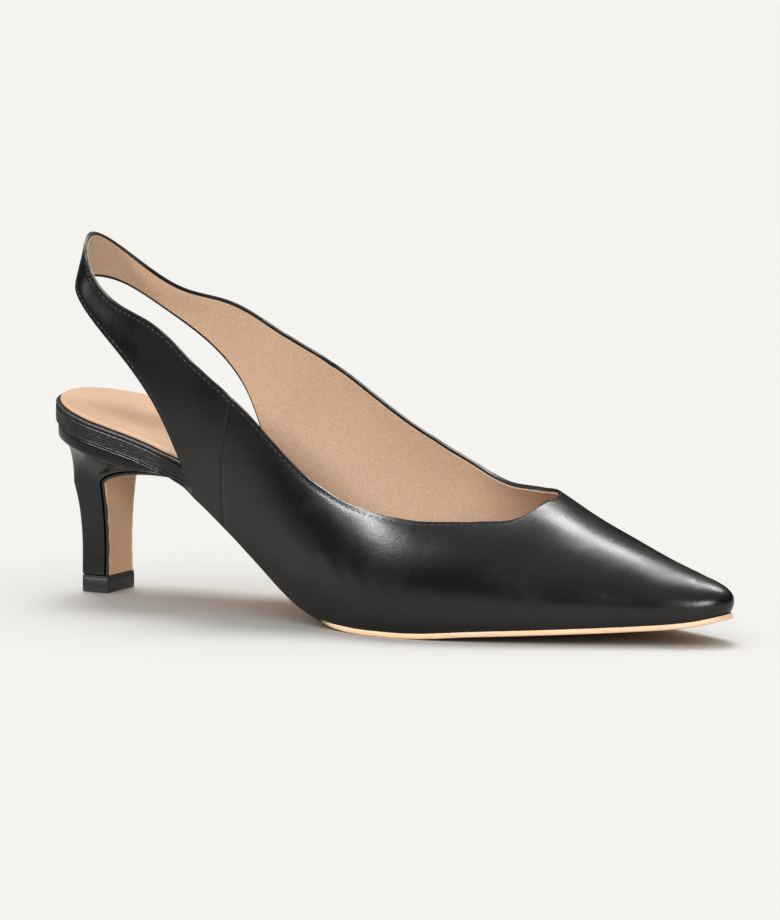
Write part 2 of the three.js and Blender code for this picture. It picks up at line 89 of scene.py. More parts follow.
# Heel
LIFT = 5.5
TIP_LENGTH = 10.3
TIP_WIDTH = 16.6
FLANGE = 4.4
WING = 0.8
WING_REACH = 36.0
FLARE = 13.5
GROOVE = 0.9
CLEARANCE = 0.3

OUTER = -1
INNER = 1


def at_length(share):
    """The place along the shoe of a share of its length."""
    return SEAT_BACK + share * LENGTH


def smooth(value, low, high):
    """A smooth step from 0 at low to 1 at high."""
    t = np.clip((np.asarray(value, float) - low) / (high - low), 0, 1)
    return t * t * (3 - 2 * t)


def mix(a, b, share):
    """The value that lies a share of the way from a to b."""
    return a + (b - a) * share


def natural(knots, values):
    """A natural cubic spline through values at knots."""
    knots = np.asarray(knots, float)
    values = np.asarray(values, float)
    count = len(knots)
    step = np.diff(knots)
    matrix = np.eye(count)
    right = np.zeros_like(values)
    for i in range(1, count - 1):
        matrix[i, i - 1:i + 2] = step[i - 1], 2 * (step[i - 1] + step[i]), step[i]
        right[i] = 6 * ((values[i + 1] - values[i]) / step[i] - (values[i] - values[i - 1]) / step[i - 1])
    bend = np.linalg.solve(matrix, right)

    def curve(at):
        at = np.clip(np.asarray(at, float), knots[0], knots[-1])
        i = np.clip(np.searchsorted(knots, at, side="right") - 1, 0, count - 2)
        gap = step[i]
        a = (knots[i + 1] - at) / gap
        b = 1 - a
        if values.ndim > 1:
            a, b, gap = a[..., None], b[..., None], gap[..., None]
        bent = (a ** 3 - a) * bend[i] + (b ** 3 - b) * bend[i + 1]
        return a * values[i] + b * values[i + 1] + bent * gap * gap / 6

    return curve


def steady(knots, values):
    """A cubic through values at knots that never overshoots them."""
    knots = np.asarray(knots, float)
    values = np.asarray(values, float)
    rate = np.diff(values) / np.diff(knots)
    slope = np.zeros_like(values)
    slope[0] = rate[0]
    slope[-1] = rate[-1]
    for i in range(1, len(values) - 1):
        if rate[i - 1] * rate[i] > 0:
            slope[i] = 2 / (1 / rate[i - 1] + 1 / rate[i])

    def curve(at):
        at = np.clip(np.asarray(at, float), knots[0], knots[-1])
        i = np.clip(np.searchsorted(knots, at, side="right") - 1, 0, len(knots) - 2)
        gap = knots[i + 1] - knots[i]
        u = (at - knots[i]) / gap
        rise = values[i] * (1 + 2 * u) * (1 - u) ** 2 + slope[i] * gap * u * (1 - u) ** 2
        return rise + values[i + 1] * u * u * (3 - 2 * u) + slope[i + 1] * gap * u * u * (u - 1)

    return curve


# The feather line in profile: shares of the length, of the seat's rise and of the toe spring
PROFILE = np.array([
    (0, 1, 0), (0.061, 0.936, 0), (0.114, 0.878, 0), (0.168, 0.817, 0), (0.209, 0.757, 0),
    (0.253, 0.66, 0), (0.314, 0.46, 0), (0.361, 0.293, 0), (0.402, 0.156, 0), (0.43, 0.085, 0),
    (0.46, 0.038, 0), (0.5, 0.008, 0), (0.545, 0, 0), (0.6, 0, 0), (0.7, 0, 0.19), (0.8, 0, 0.35),
    (0.9, 0, 0.53), (0.955, 0, 0.7), (1, 0, 1),
])
seat_curve = steady(PROFILE[:, 0], PROFILE[:, 1])
toe_curve = steady(PROFILE[:, 0], PROFILE[:, 2])


def feather(x):
    """Height of the feather line at a place along the shoe."""
    along = (np.asarray(x, float) - SEAT_BACK) / LENGTH
    return SOLE + CLEARANCE + SEAT_RISE * seat_curve(along) + TOE_SPRING * toe_curve(along)


# The last's sections from the nose round to the heel strap, each a curve from its foot to its crest
COLUMNS = (
    "foot", "foot_o", "foot_i", "lift", "top_o", "top_i", "wide_o", "wide_i", "up_o", "up_i", "turn",
    "lean", "fall_o", "fall_i", "full",
)
SECTIONS = [
    ("nose", 0.992, -0.0585, 0.0585, 0, 0.943, 0.943, -0.078, 0.078, 0.35, 0.35, 0, 30, 17, 17, 1.2),
    ("toe_round", 0.98, 0.078, 0.19, 0, 0.943, 0.943, -0.078, 0.078, 0.35, 0.35, 45, 28, 12, 11, 1.16),
    ("toe_side", 0.944, 0.217, 0.322, 0, 0.943, 0.943, -0.078, 0.078, 0.35, 0.35, 70, 24, 4, 4, 1.12),
    ("toe_back", 0.8963, 0.337, 0.449, 0, 0.9, 0.9, -0.085, 0.085, 0.465, 0.465, 79, 22, 2, 2, 1.06),
    ("vamp", 0.8263, 0.527, 0.641, 0, 0.8263, 0.8263, -0.09, 0.09, 0.675, 0.675, 84, 20, 1, 1, 1.02),
    ("ball_front", 0.766, 0.675, 0.788, 0, 0.7705, 0.7705, -0.085, 0.085, 0.85, 0.85, 88, 19, 1, 1, 1),
    ("apex", 0.7285, 0.765, 0.85, 0, 0.739, 0.739, -0.073, 0.073, 0.972, 0.972, 90, 18, 1, 1, 1),
    ("throat_tip", 0.7, 0.822, 0.88, 0, 0.711, 0.711, -0.073, 0.073, 1.075, 1.075, 90, 18, 1, 1, 1),
    ("throat_side", 0.665, 0.884, 0.897, 0, 0.678, 0.678, -0.08, 0.08, 1.185, 1.185, 90, 18, 2, 2, 1),
    ("ball", 0.6041, 0.951, 0.883, 0, 0.6206, 0.6206, -0.08, 0.098, 1.374, 1.374, 90, 18, 6, 6, 1.02),
    ("ball_back", 0.5383, 0.941, 0.805, 0, 0.5547, 0.5547, 0.01, 0.341, 1.623, 1.7,
     90, 18, 16, 16, 1.03),
    ("waist_front", 0.4642, 0.82, 0.6585, 0, 0.4889, 0.493, 0.341, 0.6, 1.049, 1.13,
     91, 20, 38, 46, 1.02),
    ("waist", 0.3737, 0.683, 0.571, 0, 0.4107, 0.4148, 0.6585, 0.744, 0.968, 1.04, 92, 20, 66, 70, 1),
    ("corner", 0.2609, 0.644, 0.624, 0, 0.3346, 0.3407, 0.756, 0.744, 0.805, 0.878, 92, 13, 80, 80, 1),
    ("rear_low", 0.2354, 0.683, 0.67, 0.183, 0.279, 0.279, 0.722, 0.712, 0.708, 0.77, 93, 6, 84, 84, 1),
    ("rear_mid", 0.2066, 0.702, 0.692, 0.346, 0.2337, 0.2337, 0.693, 0.688, 0.724, 0.752,
     96, 3, 84, 84, 1),
    ("strap_root", 0.1576, 0.6585, 0.652, 0.492, 0.1844, 0.1844, 0.634, 0.632, 0.746, 0.76,
     104, 2, 84, 84, 1),
    ("strap_side", 0.1, 0.5415, 0.5415, 0.603, 0.127, 0.127, 0.535, 0.535, 0.755, 0.755,
     122, 0, 84, 84, 1),
    ("strap_turn", 0.0465, 0.325, 0.325, 0.705, 0.0657, 0.0657, 0.34, 0.34, 0.872, 0.872,
     150, -6, 78, 78, 1),
    ("strap_back", 0.0285, 0, 0, 0.73, 0.039, 0.039, 0, 0, 0.975, 0.975, 180, -10, 76, 76, 1),
]
NAMES = [row[0] for row in SECTIONS]
ROWS = {name: np.array([row[i + 1] for row in SECTIONS], float) for i, name in enumerate(COLUMNS)}
LAST = len(SECTIONS) - 1
RISES = np.where(np.arange(LAST + 1) < NAMES.index("waist_front"), THROAT_RISE, STRAP_RISE)
POLE = NAMES.index("toe_side")
APEX = NAMES.index("apex")
CORNER = NAMES.index("corner")

# The topline from the throat's apex back to the strap: how many rows it slips forward of the foot
# below it, and its share of the section there, on the outer and the inner side
TOPLINE = np.array([
    (0, 1, 0, 1), (0.68, 0.695, 0.26, 0.81), (0.43, 0.57, 0.37, 0.685), (0.28, 0.5, 0.21, 0.593),
    (0.06, 0.47, 0.15, 0.543), (-0.07, 0.58, 0.11, 0.653), (-0.05, 0.75, 0.165, 0.806),
    (0.08, 0.905, 0.06, 0.942), (0, 1, 0, 1),
])
TOPLINE_END = APEX + len(TOPLINE) - 1
edge_curve = natural(np.arange(APEX, TOPLINE_END + 1), TOPLINE)


def foot_of(i, side):
    """A section's foot."""
    x = at_length(ROWS["foot"][i])
    y = side * HALF_BALL * ROWS["foot_o" if side == OUTER else "foot_i"][i]
    return np.array([x, y, feather(x) + ROWS["lift"][i] * STRAP_RISE])


def crest_of(i, side):
    """A section's crest."""
    end = "_o" if side == OUTER else "_i"
    x = at_length(ROWS["top" + end][i])
    y = side * HALF_BALL * ROWS["wide" + end][i]
    return np.array([x, y, feather(x) + ROWS["up" + end][i] * RISES[i]])


def facing_of(i, side):
    """The way a section faces, level."""
    turn = math.radians(ROWS["turn"][i])
    return np.array([math.cos(turn), side * math.sin(turn), 0])


stations = np.zeros(LAST + 1)
for i in range(1, LAST + 1):
    ends = [(end(i, side), end(i - 1, side)) for side in (OUTER, INNER) for end in (foot_of, crest_of)]
    stations[i] = stations[i - 1] + sum(np.linalg.norm(a - b) for a, b in ends) / 4
LAP = 2 * stations[LAST]


def run(first, last, pick):
    """A spline through what pick says of rows first to last, inner rows counted as negative."""
    knots = []
    values = []
    for index in range(first, last + 1):
        lapped = (index + LAST) % (2 * LAST) - LAST
        laps = round((index - lapped) / (2 * LAST))
        knots.append(math.copysign(stations[abs(lapped)], lapped) + laps * LAP)
        values.append(pick(abs(lapped), INNER if lapped < 0 else OUTER))
    return natural(knots, values)


feather_run = run(-CORNER, CORNER, foot_of)
rear_run = run(CORNER, 2 * LAST - CORNER, foot_of)
crest_run = run(POLE, 2 * LAST - POLE, crest_of)
facing_run = run(-LAST - 2, LAST + 2, facing_of)
lean_run = run(-LAST, LAST, lambda i, side: ROWS["lean"][i])
fall_run = run(-LAST, LAST, lambda i, side: ROWS["fall_o" if side == OUTER else "fall_i"][i])
full_run = run(-LAST, LAST, lambda i, side: ROWS["full"][i])


def foot_at(at):
    """Feet of the sections at signed distances round the last."""
    low = feather_run(at)
    low[..., 2] = feather(low[..., 0])
    high = rear_run(np.where(at < 0, at + LAP, at))
    return np.where((np.abs(at) <= stations[CORNER] + 1e-9)[..., None], low, high)


def crest_at(at):
    """Crests of the sections: one point round the toe, one ridge to the throat, then the opening."""
    place = np.maximum(np.abs(at), stations[POLE])
    ridge = (crest_run(place) + crest_run(LAP - place)) / 2
    opening = crest_run(np.where(at < 0, LAP - place, place))
    return np.where((place > stations[APEX])[..., None], opening, ridge)


def unit(vectors):
    """Vectors of length one."""
    return vectors / np.maximum(np.linalg.norm(vectors, axis=-1, keepdims=True), 1e-9)


def on_section(at, share):
    """Points on the last's sections at signed distances, at shares of the way from foot to crest."""
    foot = foot_at(at)
    crest = crest_at(at)
    out = unit(facing_run(at))
    chord = crest - foot
    up = unit(chord - out * (chord * out).sum(-1, keepdims=True))
    lean = np.radians(lean_run(at))[..., None]
    fall = np.radians(fall_run(at))[..., None]
    bend = lean + math.pi / 2 - fall
    reach = np.linalg.norm(chord, axis=-1, keepdims=True)
    handle = full_run(at)[..., None] * reach / (3 * np.cos(bend / 4) ** 2)
    low = foot + handle * (np.sin(lean) * out + np.cos(lean) * up)
    high = crest + handle * (np.cos(fall) * out - np.sin(fall) * up)
    s = share[..., None]
    return (1 - s) ** 3 * foot + 3 * (1 - s) ** 2 * s * low + 3 * (1 - s) * s * s * high + s ** 3 * crest


def on_upper(lap, share):
    """Points of the upper: lap counts rows from the nose back along the outer side, round the strap and
    forward along the inner side, and share goes from the lower edge to the topline or the ridge."""
    lap = np.mod(lap, 2 * LAST)
    outer = lap <= LAST
    place = np.where(outer, lap, 2 * LAST - lap)
    edge = edge_curve(np.clip(place, APEX, TOPLINE_END))
    open_top = (place > APEX) & (place < TOPLINE_END)
    slip = np.where(open_top, np.where(outer, edge[..., 0], edge[..., 2]), 0)
    top = np.where(open_top, np.where(outer, edge[..., 1], edge[..., 3]), 1)
    at = np.interp(place - slip * share, np.arange(LAST + 1), stations)
    return on_section(np.where(outer, at, -at), share * top)


def outward(points):
    """Outward directions over the upper's net, which closes on itself along the toe's ridge."""
    ahead = np.roll(points, -1, 0)
    face = np.cross(ahead[:, 1:] - points[:, :-1], ahead[:, :-1] - points[:, 1:])
    sums = np.zeros_like(points)
    for rows in (slice(None, -1), slice(1, None)):
        sums[:, rows] += face
        sums[:, rows] += np.roll(face, 1, 0)
    keys = np.round(points.reshape(-1, 3), 2)
    which = np.unique(keys, axis=0, return_inverse=True)[1].reshape(-1)
    total = np.zeros((which.max() + 1, 3))
    np.add.at(total, which, sums.reshape(-1, 3))
    return unit(total[which].reshape(points.shape))


# Outline of the sole and the insole
def station_of(x):
    """The distance round the last at which the feather line reaches a place along the shoe."""
    near, far = 0.0, stations[CORNER]
    for _ in range(30):
        middle = (near + far) / 2
        if feather_run(middle)[0] > x:
            near = middle
        else:
            far = middle
    return near


def feather_pair(at, grow):
    """The feather line on both sides, moved out by grow."""
    sides = []
    for sign in (1, -1):
        sides.append(foot_at(sign * at) + unit(facing_run(sign * at)) * grow)
    return sides


def fore_stations(until):
    """Distances from the nose back to a place along the shoe, closer together round the nose."""
    end = station_of(until)
    nose = stations[NAMES.index("toe_back")]
    round_nose = nose * (np.arange(20) / 20) ** 1.5
    return np.concatenate([round_nose, np.linspace(nose, end, 70)])


def net(name, points, body="root", **layers):
    """An object from a net of places in millimetres, merged where its edges and poles meet."""
    rows, columns = points.shape[:2]
    mesh = bpy.data.meshes.new(name)
    bm = bmesh.new()
    bmesh.ops.create_grid(bm, x_segments=columns - 1, y_segments=rows - 1, size=1)
    made = {key: bm.verts.layers.float.new(key) for key in layers}
    bm.verts.ensure_lookup_table()
    for vert, place in zip(bm.verts, points.reshape(-1, 3) * MM):
        vert.co = place
    for key, values in layers.items():
        for vert, value in zip(bm.verts, np.broadcast_to(values, (rows, columns)).reshape(-1)):
            vert[made[key]] = value
    bmesh.ops.remove_doubles(bm, verts=bm.verts, dist=0.004 * MM)
    bmesh.ops.dissolve_degenerate(bm, edges=bm.edges, dist=0.002 * MM)
    if not any(edge.is_boundary for edge in bm.edges):
        bmesh.ops.recalc_face_normals(bm, faces=bm.faces)
    bm.to_mesh(mesh)
    bm.free()
    return place_piece(name, mesh, body)


def place_piece(name, mesh, body="root"):
    """An object at the origin that rides on a body, with smooth shading."""
    piece = bpy.data.objects.new(name, mesh)
    bpy.context.scene.collection.objects.link(piece)
    mesh.shade_smooth()
    mesh.set_sharp_from_angle(angle=math.radians(48))
    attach(piece, body)
    return piece


def closed(points):
    """A net whose last row repeats the first, so that it closes."""
    return np.concatenate([points, points[:1]], axis=0)


# Materials
def color4(color):
    """A colour with its alpha."""
    return (*color[:3], 1.0)


def shade(color, amount):
    """A colour made darker or paler by an amount, with its alpha."""
    return (*(min(1, part * amount) for part in color[:3]), 1.0)


class Nodes:
    """Adds nodes to a tree and links or sets their inputs."""

    def __init__(self, tree):
        self.tree = tree

    def add(self, kind, sockets=None, **settings):
        node = self.tree.nodes.new(kind)
        for key, value in settings.items():
            setattr(node, key, value)
        for key, value in (sockets or {}).items():
            self.set(node.inputs[key], value)
        return node

    def set(self, socket, value):
        if isinstance(value, bpy.types.NodeSocket):
            self.tree.links.new(value, socket)
        else:
            socket.default_value = value

    def math(self, operation, a, b=0.0, clamp=False):
        return self.add("ShaderNodeMath", {0: a, 1: b}, operation=operation, use_clamp=clamp).outputs[0]

    def times(self, a, b, clamp=False):
        return self.math("MULTIPLY", a, b, clamp)

    def plus(self, a, b, clamp=False):
        return self.math("ADD", a, b, clamp)

    def blend(self, a, b, share):
        node = self.add("ShaderNodeMix", data_type="RGBA")
        self.set(node.inputs[0], share)
        self.set(node.inputs[6], a)
        self.set(node.inputs[7], b)
        return node.outputs[2]

    def fit(self, value, low, high, to_low=0.0, to_high=1.0):
        sockets = {0: value, 1: low, 2: high, 3: to_low, 4: to_high}
        return self.add("ShaderNodeMapRange", sockets, interpolation_type="SMOOTHSTEP").outputs[0]

    def noise(self, where, scale, detail=3.0, rough=0.55):
        sockets = {"Vector": where, "Scale": scale, "Detail": detail, "Roughness": rough}
        return self.add("ShaderNodeTexNoise", sockets).outputs["Fac"]

    def cells(self, where, scale, feature="F1"):
        sockets = {"Vector": where, "Scale": scale}
        return self.add("ShaderNodeTexVoronoi", sockets, feature=feature).outputs["Distance"]

    def where(self):
        return self.add("ShaderNodeTexCoord").outputs["Object"]

    def stretched(self, where, scale, turn=(0, 0, 0)):
        sockets = {"Vector": where, "Rotation": turn, "Scale": scale}
        return self.add("ShaderNodeMapping", sockets).outputs[0]


def shader_group(name, inputs, outputs, build):
    """A node group with named inputs (name, kind, default) and outputs (name, kind), built once."""
    if name in bpy.data.node_groups:
        return bpy.data.node_groups[name]
    group = bpy.data.node_groups.new(name, "ShaderNodeTree")
    for label, kind, default in inputs:
        socket = group.interface.new_socket(name=label, in_out="INPUT", socket_type=kind)
        socket.default_value = default
    for label, kind in outputs:
        group.interface.new_socket(name=label, in_out="OUTPUT", socket_type=kind)
    nodes = Nodes(group)
    given = group.nodes.new("NodeGroupInput").outputs
    made = group.nodes.new("NodeGroupOutput").inputs
    for label, value in build(nodes, given).items():
        nodes.set(made[label], value)
    return group


NUMBER = "NodeSocketFloat"


PORE_SHIFT = 0.9 * MM
SPECK_COLOR = (0.42, 0.40, 0.37, 1.0)


def build_grain(nodes, given):
    """Leather grain: fine pores, soft wrinkles, a slow swell and slow patches of tone."""
    where = nodes.where()
    bent = nodes.add("ShaderNodeTexNoise", {"Vector": where, "Scale": 260.0, "Detail": 2.0})
    reach = {0: bent.outputs["Color"], 1: (PORE_SHIFT,) * 3}
    shift = nodes.add("ShaderNodeVectorMath", reach, operation="MULTIPLY").outputs[0]
    warped = nodes.add("ShaderNodeVectorMath", {0: where, 1: shift}, operation="ADD").outputs[0]
    per_metre = nodes.math("DIVIDE", 1000.0, given["Pore Size"])
    pores = nodes.cells(warped, per_metre)
    pebble = nodes.fit(pores, 0.05, 0.62, 1.0, 0.0)
    crease_scale = nodes.math("DIVIDE", 1000.0, given["Wrinkle Size"])
    wrinkle = nodes.cells(warped, crease_scale, "DISTANCE_TO_EDGE")
    fold = nodes.fit(wrinkle, 0.0, 0.16)
    micro = nodes.noise(where, 5200.0, 3.0, 0.6)
    patch = nodes.noise(where, 46.0, 4.0, 0.6)
    cloud = nodes.noise(where, 17.0, 2.0, 0.5)
    height = nodes.times(pebble, given["Pores"])
    height = nodes.plus(height, nodes.times(fold, given["Wrinkles"]))
    height = nodes.plus(height, nodes.times(micro, 0.1))
    swell = nodes.noise(where, 95.0, 2.0, 0.45)
    height = nodes.plus(height, nodes.times(swell, given["Swell"]))
    tone = nodes.plus(nodes.times(patch, 0.6), nodes.times(cloud, 0.4))
    tone = nodes.fit(tone, 0.36, 0.64)
    return {"Height": height, "Tone": tone, "Pits": nodes.math("SUBTRACT", 1.0, pebble)}


def build_scuffs(nodes, given):
    """Rub marks: short fine scratches that come and go in patches."""
    where = nodes.where()
    turned = nodes.stretched(where, (1, 9, 9), (0.2, 0.35, 0.5))
    lines = nodes.noise(turned, given["Fineness"], 4.0, 0.7)
    lines = nodes.fit(lines, 0.56, 0.68)
    patch = nodes.fit(nodes.noise(where, 33.0, 3.0, 0.6), 0.48, 0.66)
    mark = nodes.times(lines, patch)
    return {"Mask": nodes.times(mark, given["Amount"], clamp=True)}


def build_dust(nodes, given):
    """Fine pale dust that settles on surfaces that face up and in hollows."""
    where = nodes.where()
    facing = nodes.add("ShaderNodeNewGeometry").outputs["Normal"]
    up = nodes.add("ShaderNodeSeparateXYZ", {0: facing}).outputs[2]
    level = nodes.fit(up, 0.1, 1.0)
    specks = nodes.fit(nodes.cells(where, 900.0), 0.0, 0.16, 1.0, 0.0)
    rare = nodes.fit(nodes.noise(where, 420.0, 2.0, 0.5), 0.6, 0.72)
    film = nodes.fit(nodes.noise(where, 60.0, 5.0, 0.7), 0.4, 0.75)
    total = nodes.plus(nodes.times(specks, rare), nodes.times(film, 0.25))
    return {"Mask": nodes.times(nodes.times(total, level), given["Amount"], clamp=True)}


def grain_group():
    inputs = [("Pore Size", NUMBER, 0.6), ("Pores", NUMBER, 0.5), ("Wrinkle Size", NUMBER, 2.2),
              ("Wrinkles", NUMBER, 0.3), ("Swell", NUMBER, 0.0)]
    outputs = [("Height", NUMBER), ("Tone", NUMBER), ("Pits", NUMBER)]
    return shader_group("Leather Grain", inputs, outputs, build_grain)


def scuff_group():
    inputs = [("Fineness", NUMBER, 160.0), ("Amount", NUMBER, 0.3)]
    return shader_group("Rub Marks", inputs, [("Mask", NUMBER)], build_scuffs)


def dust_group():
    return shader_group("Settled Dust", [("Amount", NUMBER, 0.2)], [("Mask", NUMBER)], build_dust)


def new_material(name):
    """An empty material with its nodes, its Principled shader and its output."""
    material = bpy.data.materials.new(name)
    material.use_nodes = True
    material.node_tree.nodes.clear()
    nodes = Nodes(material.node_tree)
    shader = nodes.add("ShaderNodeBsdfPrincipled")
    nodes.add("ShaderNodeOutputMaterial", {"Surface": shader.outputs[0]})
    return material, nodes, shader


def use_group(nodes, group, **values):
    """A node group placed in a material with its own values."""
    node = nodes.add("ShaderNodeGroup", node_tree=group)
    for key, value in values.items():
        nodes.set(node.inputs[key.replace("_", " ")], value)
    return node.outputs


def attribute(nodes, name):
    """A piece's own number per vertex."""
    return nodes.add("ShaderNodeAttribute", attribute_name=name).outputs["Fac"]


def bump(nodes, height, distance, strength=1.0):
    """A normal from a height, with its depth in millimetres."""
    sockets = {"Height": height, "Distance": distance * MM, "Strength": strength}
    return nodes.add("ShaderNodeBump", sockets).outputs[0]


LEATHER_GLOSS = 1.46


def leather(name, color, glow, rough, pore=0.55, depth=0.05, rim=None, scuffs=0.3, dust=0.12,
            wrinkles=0.3, swell=0.0):
    """Finished leather: glow is the tone of its paler patches and scuffs, and of a painted highlight along
    the edges that the rim attribute marks.
    """
    material, nodes, shader = new_material(name)
    grain = use_group(nodes, grain_group(), Pore_Size=pore, Pores=0.5, Wrinkle_Size=pore * 4.2,
                      Wrinkles=wrinkles, Swell=swell)
    marks = use_group(nodes, scuff_group(), Fineness=170.0, Amount=scuffs)["Mask"]
    settled = use_group(nodes, dust_group(), Amount=dust)["Mask"]
    base = nodes.blend(color4(color), color4(glow), nodes.times(grain["Tone"], 0.35))
    # Painted shade: the colour goes darker in the pits between the grain's cells.
    base = nodes.blend(base, shade(color, 0.55), nodes.times(grain["Pits"], 0.35))
    # Painted highlight along the edges that the rim attribute marks, uneven with the grain's tone.
    if rim:
        wear_and_edge_highlight = nodes.times(attribute(nodes, rim), nodes.fit(grain["Tone"], 0.0, 1.0, 0.45, 1.0))
        base = nodes.blend(base, color4(glow), nodes.times(wear_and_edge_highlight, 0.8))
    base = nodes.blend(base, color4(glow), nodes.times(marks, 0.5))
    base = nodes.blend(base, SPECK_COLOR, nodes.times(settled, 0.12))
    nodes.set(shader.inputs["Base Color"], base)
    shine = nodes.fit(grain["Tone"], 0.0, 1.0, rough + 0.05, rough - 0.05)
    shine = nodes.plus(shine, nodes.times(grain["Pits"], 0.07))
    shine = nodes.plus(shine, nodes.times(nodes.plus(marks, settled), 0.25), clamp=True)
    nodes.set(shader.inputs["Roughness"], shine)
    nodes.set(shader.inputs["Normal"], bump(nodes, grain["Height"], depth))
    shader.inputs["IOR"].default_value = LEATHER_GLOSS
    return material


def thread_material(name, color):
    """Waxed thread with the twist of its plies."""
    material, nodes, shader = new_material(name)
    where = nodes.where()
    twist = nodes.add("ShaderNodeTexWave", {"Vector": where, "Scale": 900.0, "Distortion": 2.0},
                      bands_direction="DIAGONAL").outputs["Fac"]
    fuzz = nodes.noise(where, 4200.0, 2.0)
    nodes.set(shader.inputs["Base Color"], nodes.blend(color4(color), shade(color, 2.6), twist))
    nodes.set(shader.inputs["Roughness"], nodes.fit(fuzz, 0.3, 0.7, 0.42, 0.62))
    nodes.set(shader.inputs["Normal"], bump(nodes, nodes.plus(twist, fuzz), 0.06))
    return material


def sole_material(name, settings):
    """Sole leather: fibrous tan grain below, a waxed edge in front and black edge paint behind."""
    material, nodes, shader = new_material(name)
    where = nodes.where()
    fibre = nodes.noise(nodes.stretched(where, (1, 6, 14)), 190.0, 5.0, 0.65)
    layers = nodes.noise(nodes.stretched(where, (1, 1, 16)), 150.0, 3.0, 0.6)
    grain = use_group(nodes, grain_group(), Pore_Size=0.4, Pores=0.4, Wrinkle_Size=3.0, Wrinkles=0.1)
    marks = use_group(nodes, scuff_group(), Fineness=120.0, Amount=0.8)["Mask"]
    tan = color4(settings.sole_color)
    pale = color4(settings.edge_color)
    face = nodes.blend(tan, shade(tan, 0.82), nodes.fit(fibre, 0.35, 0.65))
    face = nodes.blend(face, shade(tan, 0.9), grain["Tone"])
    wear_and_edge_highlight = nodes.times(attribute(nodes, "tread"), nodes.fit(fibre, 0.3, 0.6, 0.5, 1.0))
    face = nodes.blend(face, (0.22, 0.15, 0.10, 1), nodes.times(wear_and_edge_highlight, 0.55))
    face = nodes.blend(face, (0.30, 0.20, 0.13, 1), nodes.times(marks, nodes.times(wear_and_edge_highlight, 0.8)))
    face = nodes.blend(face, pale, attribute(nodes, "border"))
    rim = nodes.blend(pale, shade(pale, 0.8), nodes.fit(layers, 0.35, 0.7))
    base = nodes.blend(face, rim, attribute(nodes, "edge"))
    paint = attribute(nodes, "paint")
    base = nodes.blend(base, (0.012, 0.011, 0.010, 1), paint)
    nodes.set(shader.inputs["Base Color"], base)
    rough = nodes.fit(fibre, 0.3, 0.7, 0.42, 0.6)
    nodes.set(shader.inputs["Roughness"], nodes.math("SUBTRACT", rough, nodes.times(paint, 0.12)))
    height = nodes.plus(nodes.times(fibre, 0.6), nodes.times(grain["Height"], 0.5))
    nodes.set(shader.inputs["Normal"], bump(nodes, height, 0.07))
    return material


def rubber_material(name):
    """The heel lift's hard rubber with a fine matt texture, dusty where it meets the floor."""
    material, nodes, shader = new_material(name)
    where = nodes.where()
    speck = nodes.cells(where, 2600.0)
    scrape = use_group(nodes, scuff_group(), Fineness=210.0, Amount=0.9)["Mask"]
    low = nodes.fit(nodes.add("ShaderNodeSeparateXYZ", {0: where}).outputs[2], 0.0, 0.0022, 1.0, 0.0)
    cloud = nodes.noise(where, 300.0, 4.0, 0.6)
    grey = nodes.blend((0.004, 0.004, 0.004, 1), (0.009, 0.0085, 0.008, 1), cloud)
    grey = nodes.blend(grey, (0.05, 0.045, 0.042, 1), nodes.times(scrape, 0.5))
    grey = nodes.blend(grey, (0.08, 0.075, 0.07, 1), nodes.times(low, 0.3))
    nodes.set(shader.inputs["Base Color"], grey)
    nodes.set(shader.inputs["Roughness"], nodes.fit(speck, 0.0, 0.5, 0.62, 0.48))
    nodes.set(shader.inputs["Normal"], bump(nodes, nodes.plus(speck, scrape), 0.04))
    return material


SHOE_MIDDLE = (0.12, 0.0, 0.0)


def floor_material(name, color):
    """A plain pale studio floor with the faintest mottle; far off it turns dark grey in glossy rays only, a
    painted dark reflection for the leather to mirror.
    """
    material, nodes, shader = new_material(name)
    where = nodes.where()
    mottle = nodes.noise(where, 3.0, 4.0, 0.5)
    base = nodes.blend(color4(color), shade(color, 0.985), mottle)
    apart = nodes.add("ShaderNodeVectorMath", {0: where, 1: SHOE_MIDDLE}, operation="DISTANCE")
    away = apart.outputs["Value"]
    mirrored = nodes.add("ShaderNodeLightPath").outputs["Is Glossy Ray"]
    # Painted shade in reflections: far from the shoe, glossy rays see the floor as dark grey.
    unlit = nodes.times(nodes.fit(away, 0.18, 0.8), mirrored)
    base = nodes.blend(base, (0.12, 0.12, 0.12, 1.0), nodes.times(unlit, 0.95))
    nodes.set(shader.inputs["Base Color"], base)
    nodes.set(shader.inputs["Roughness"], nodes.fit(nodes.noise(where, 400.0), 0.3, 0.7, 0.72, 0.8))
    return material


# Sizes and colours that a user would change
def tint(name, about, color):
    """A colour setting."""
    return FloatVectorProperty(
        name=name, description=about, subtype="COLOR", size=3, min=0, max=1, default=color)


def length(name, about, size, low, high):
    """A length setting, given in millimetres."""
    return FloatProperty(
        name=name, description=about, default=size * MM, min=low * MM, max=high * MM, unit="LENGTH")


def power(name, about, watts):
    """A lamp's power."""
    return FloatProperty(name=name, description=about, default=watts, min=0, unit="POWER")


def turn(name, about, degrees):
    """An angle setting, given in degrees."""
    return FloatProperty(name=name, description=about, default=math.radians(degrees), subtype="ANGLE")


BLACK_LEATHER = (0.0017, 0.0016, 0.0015)


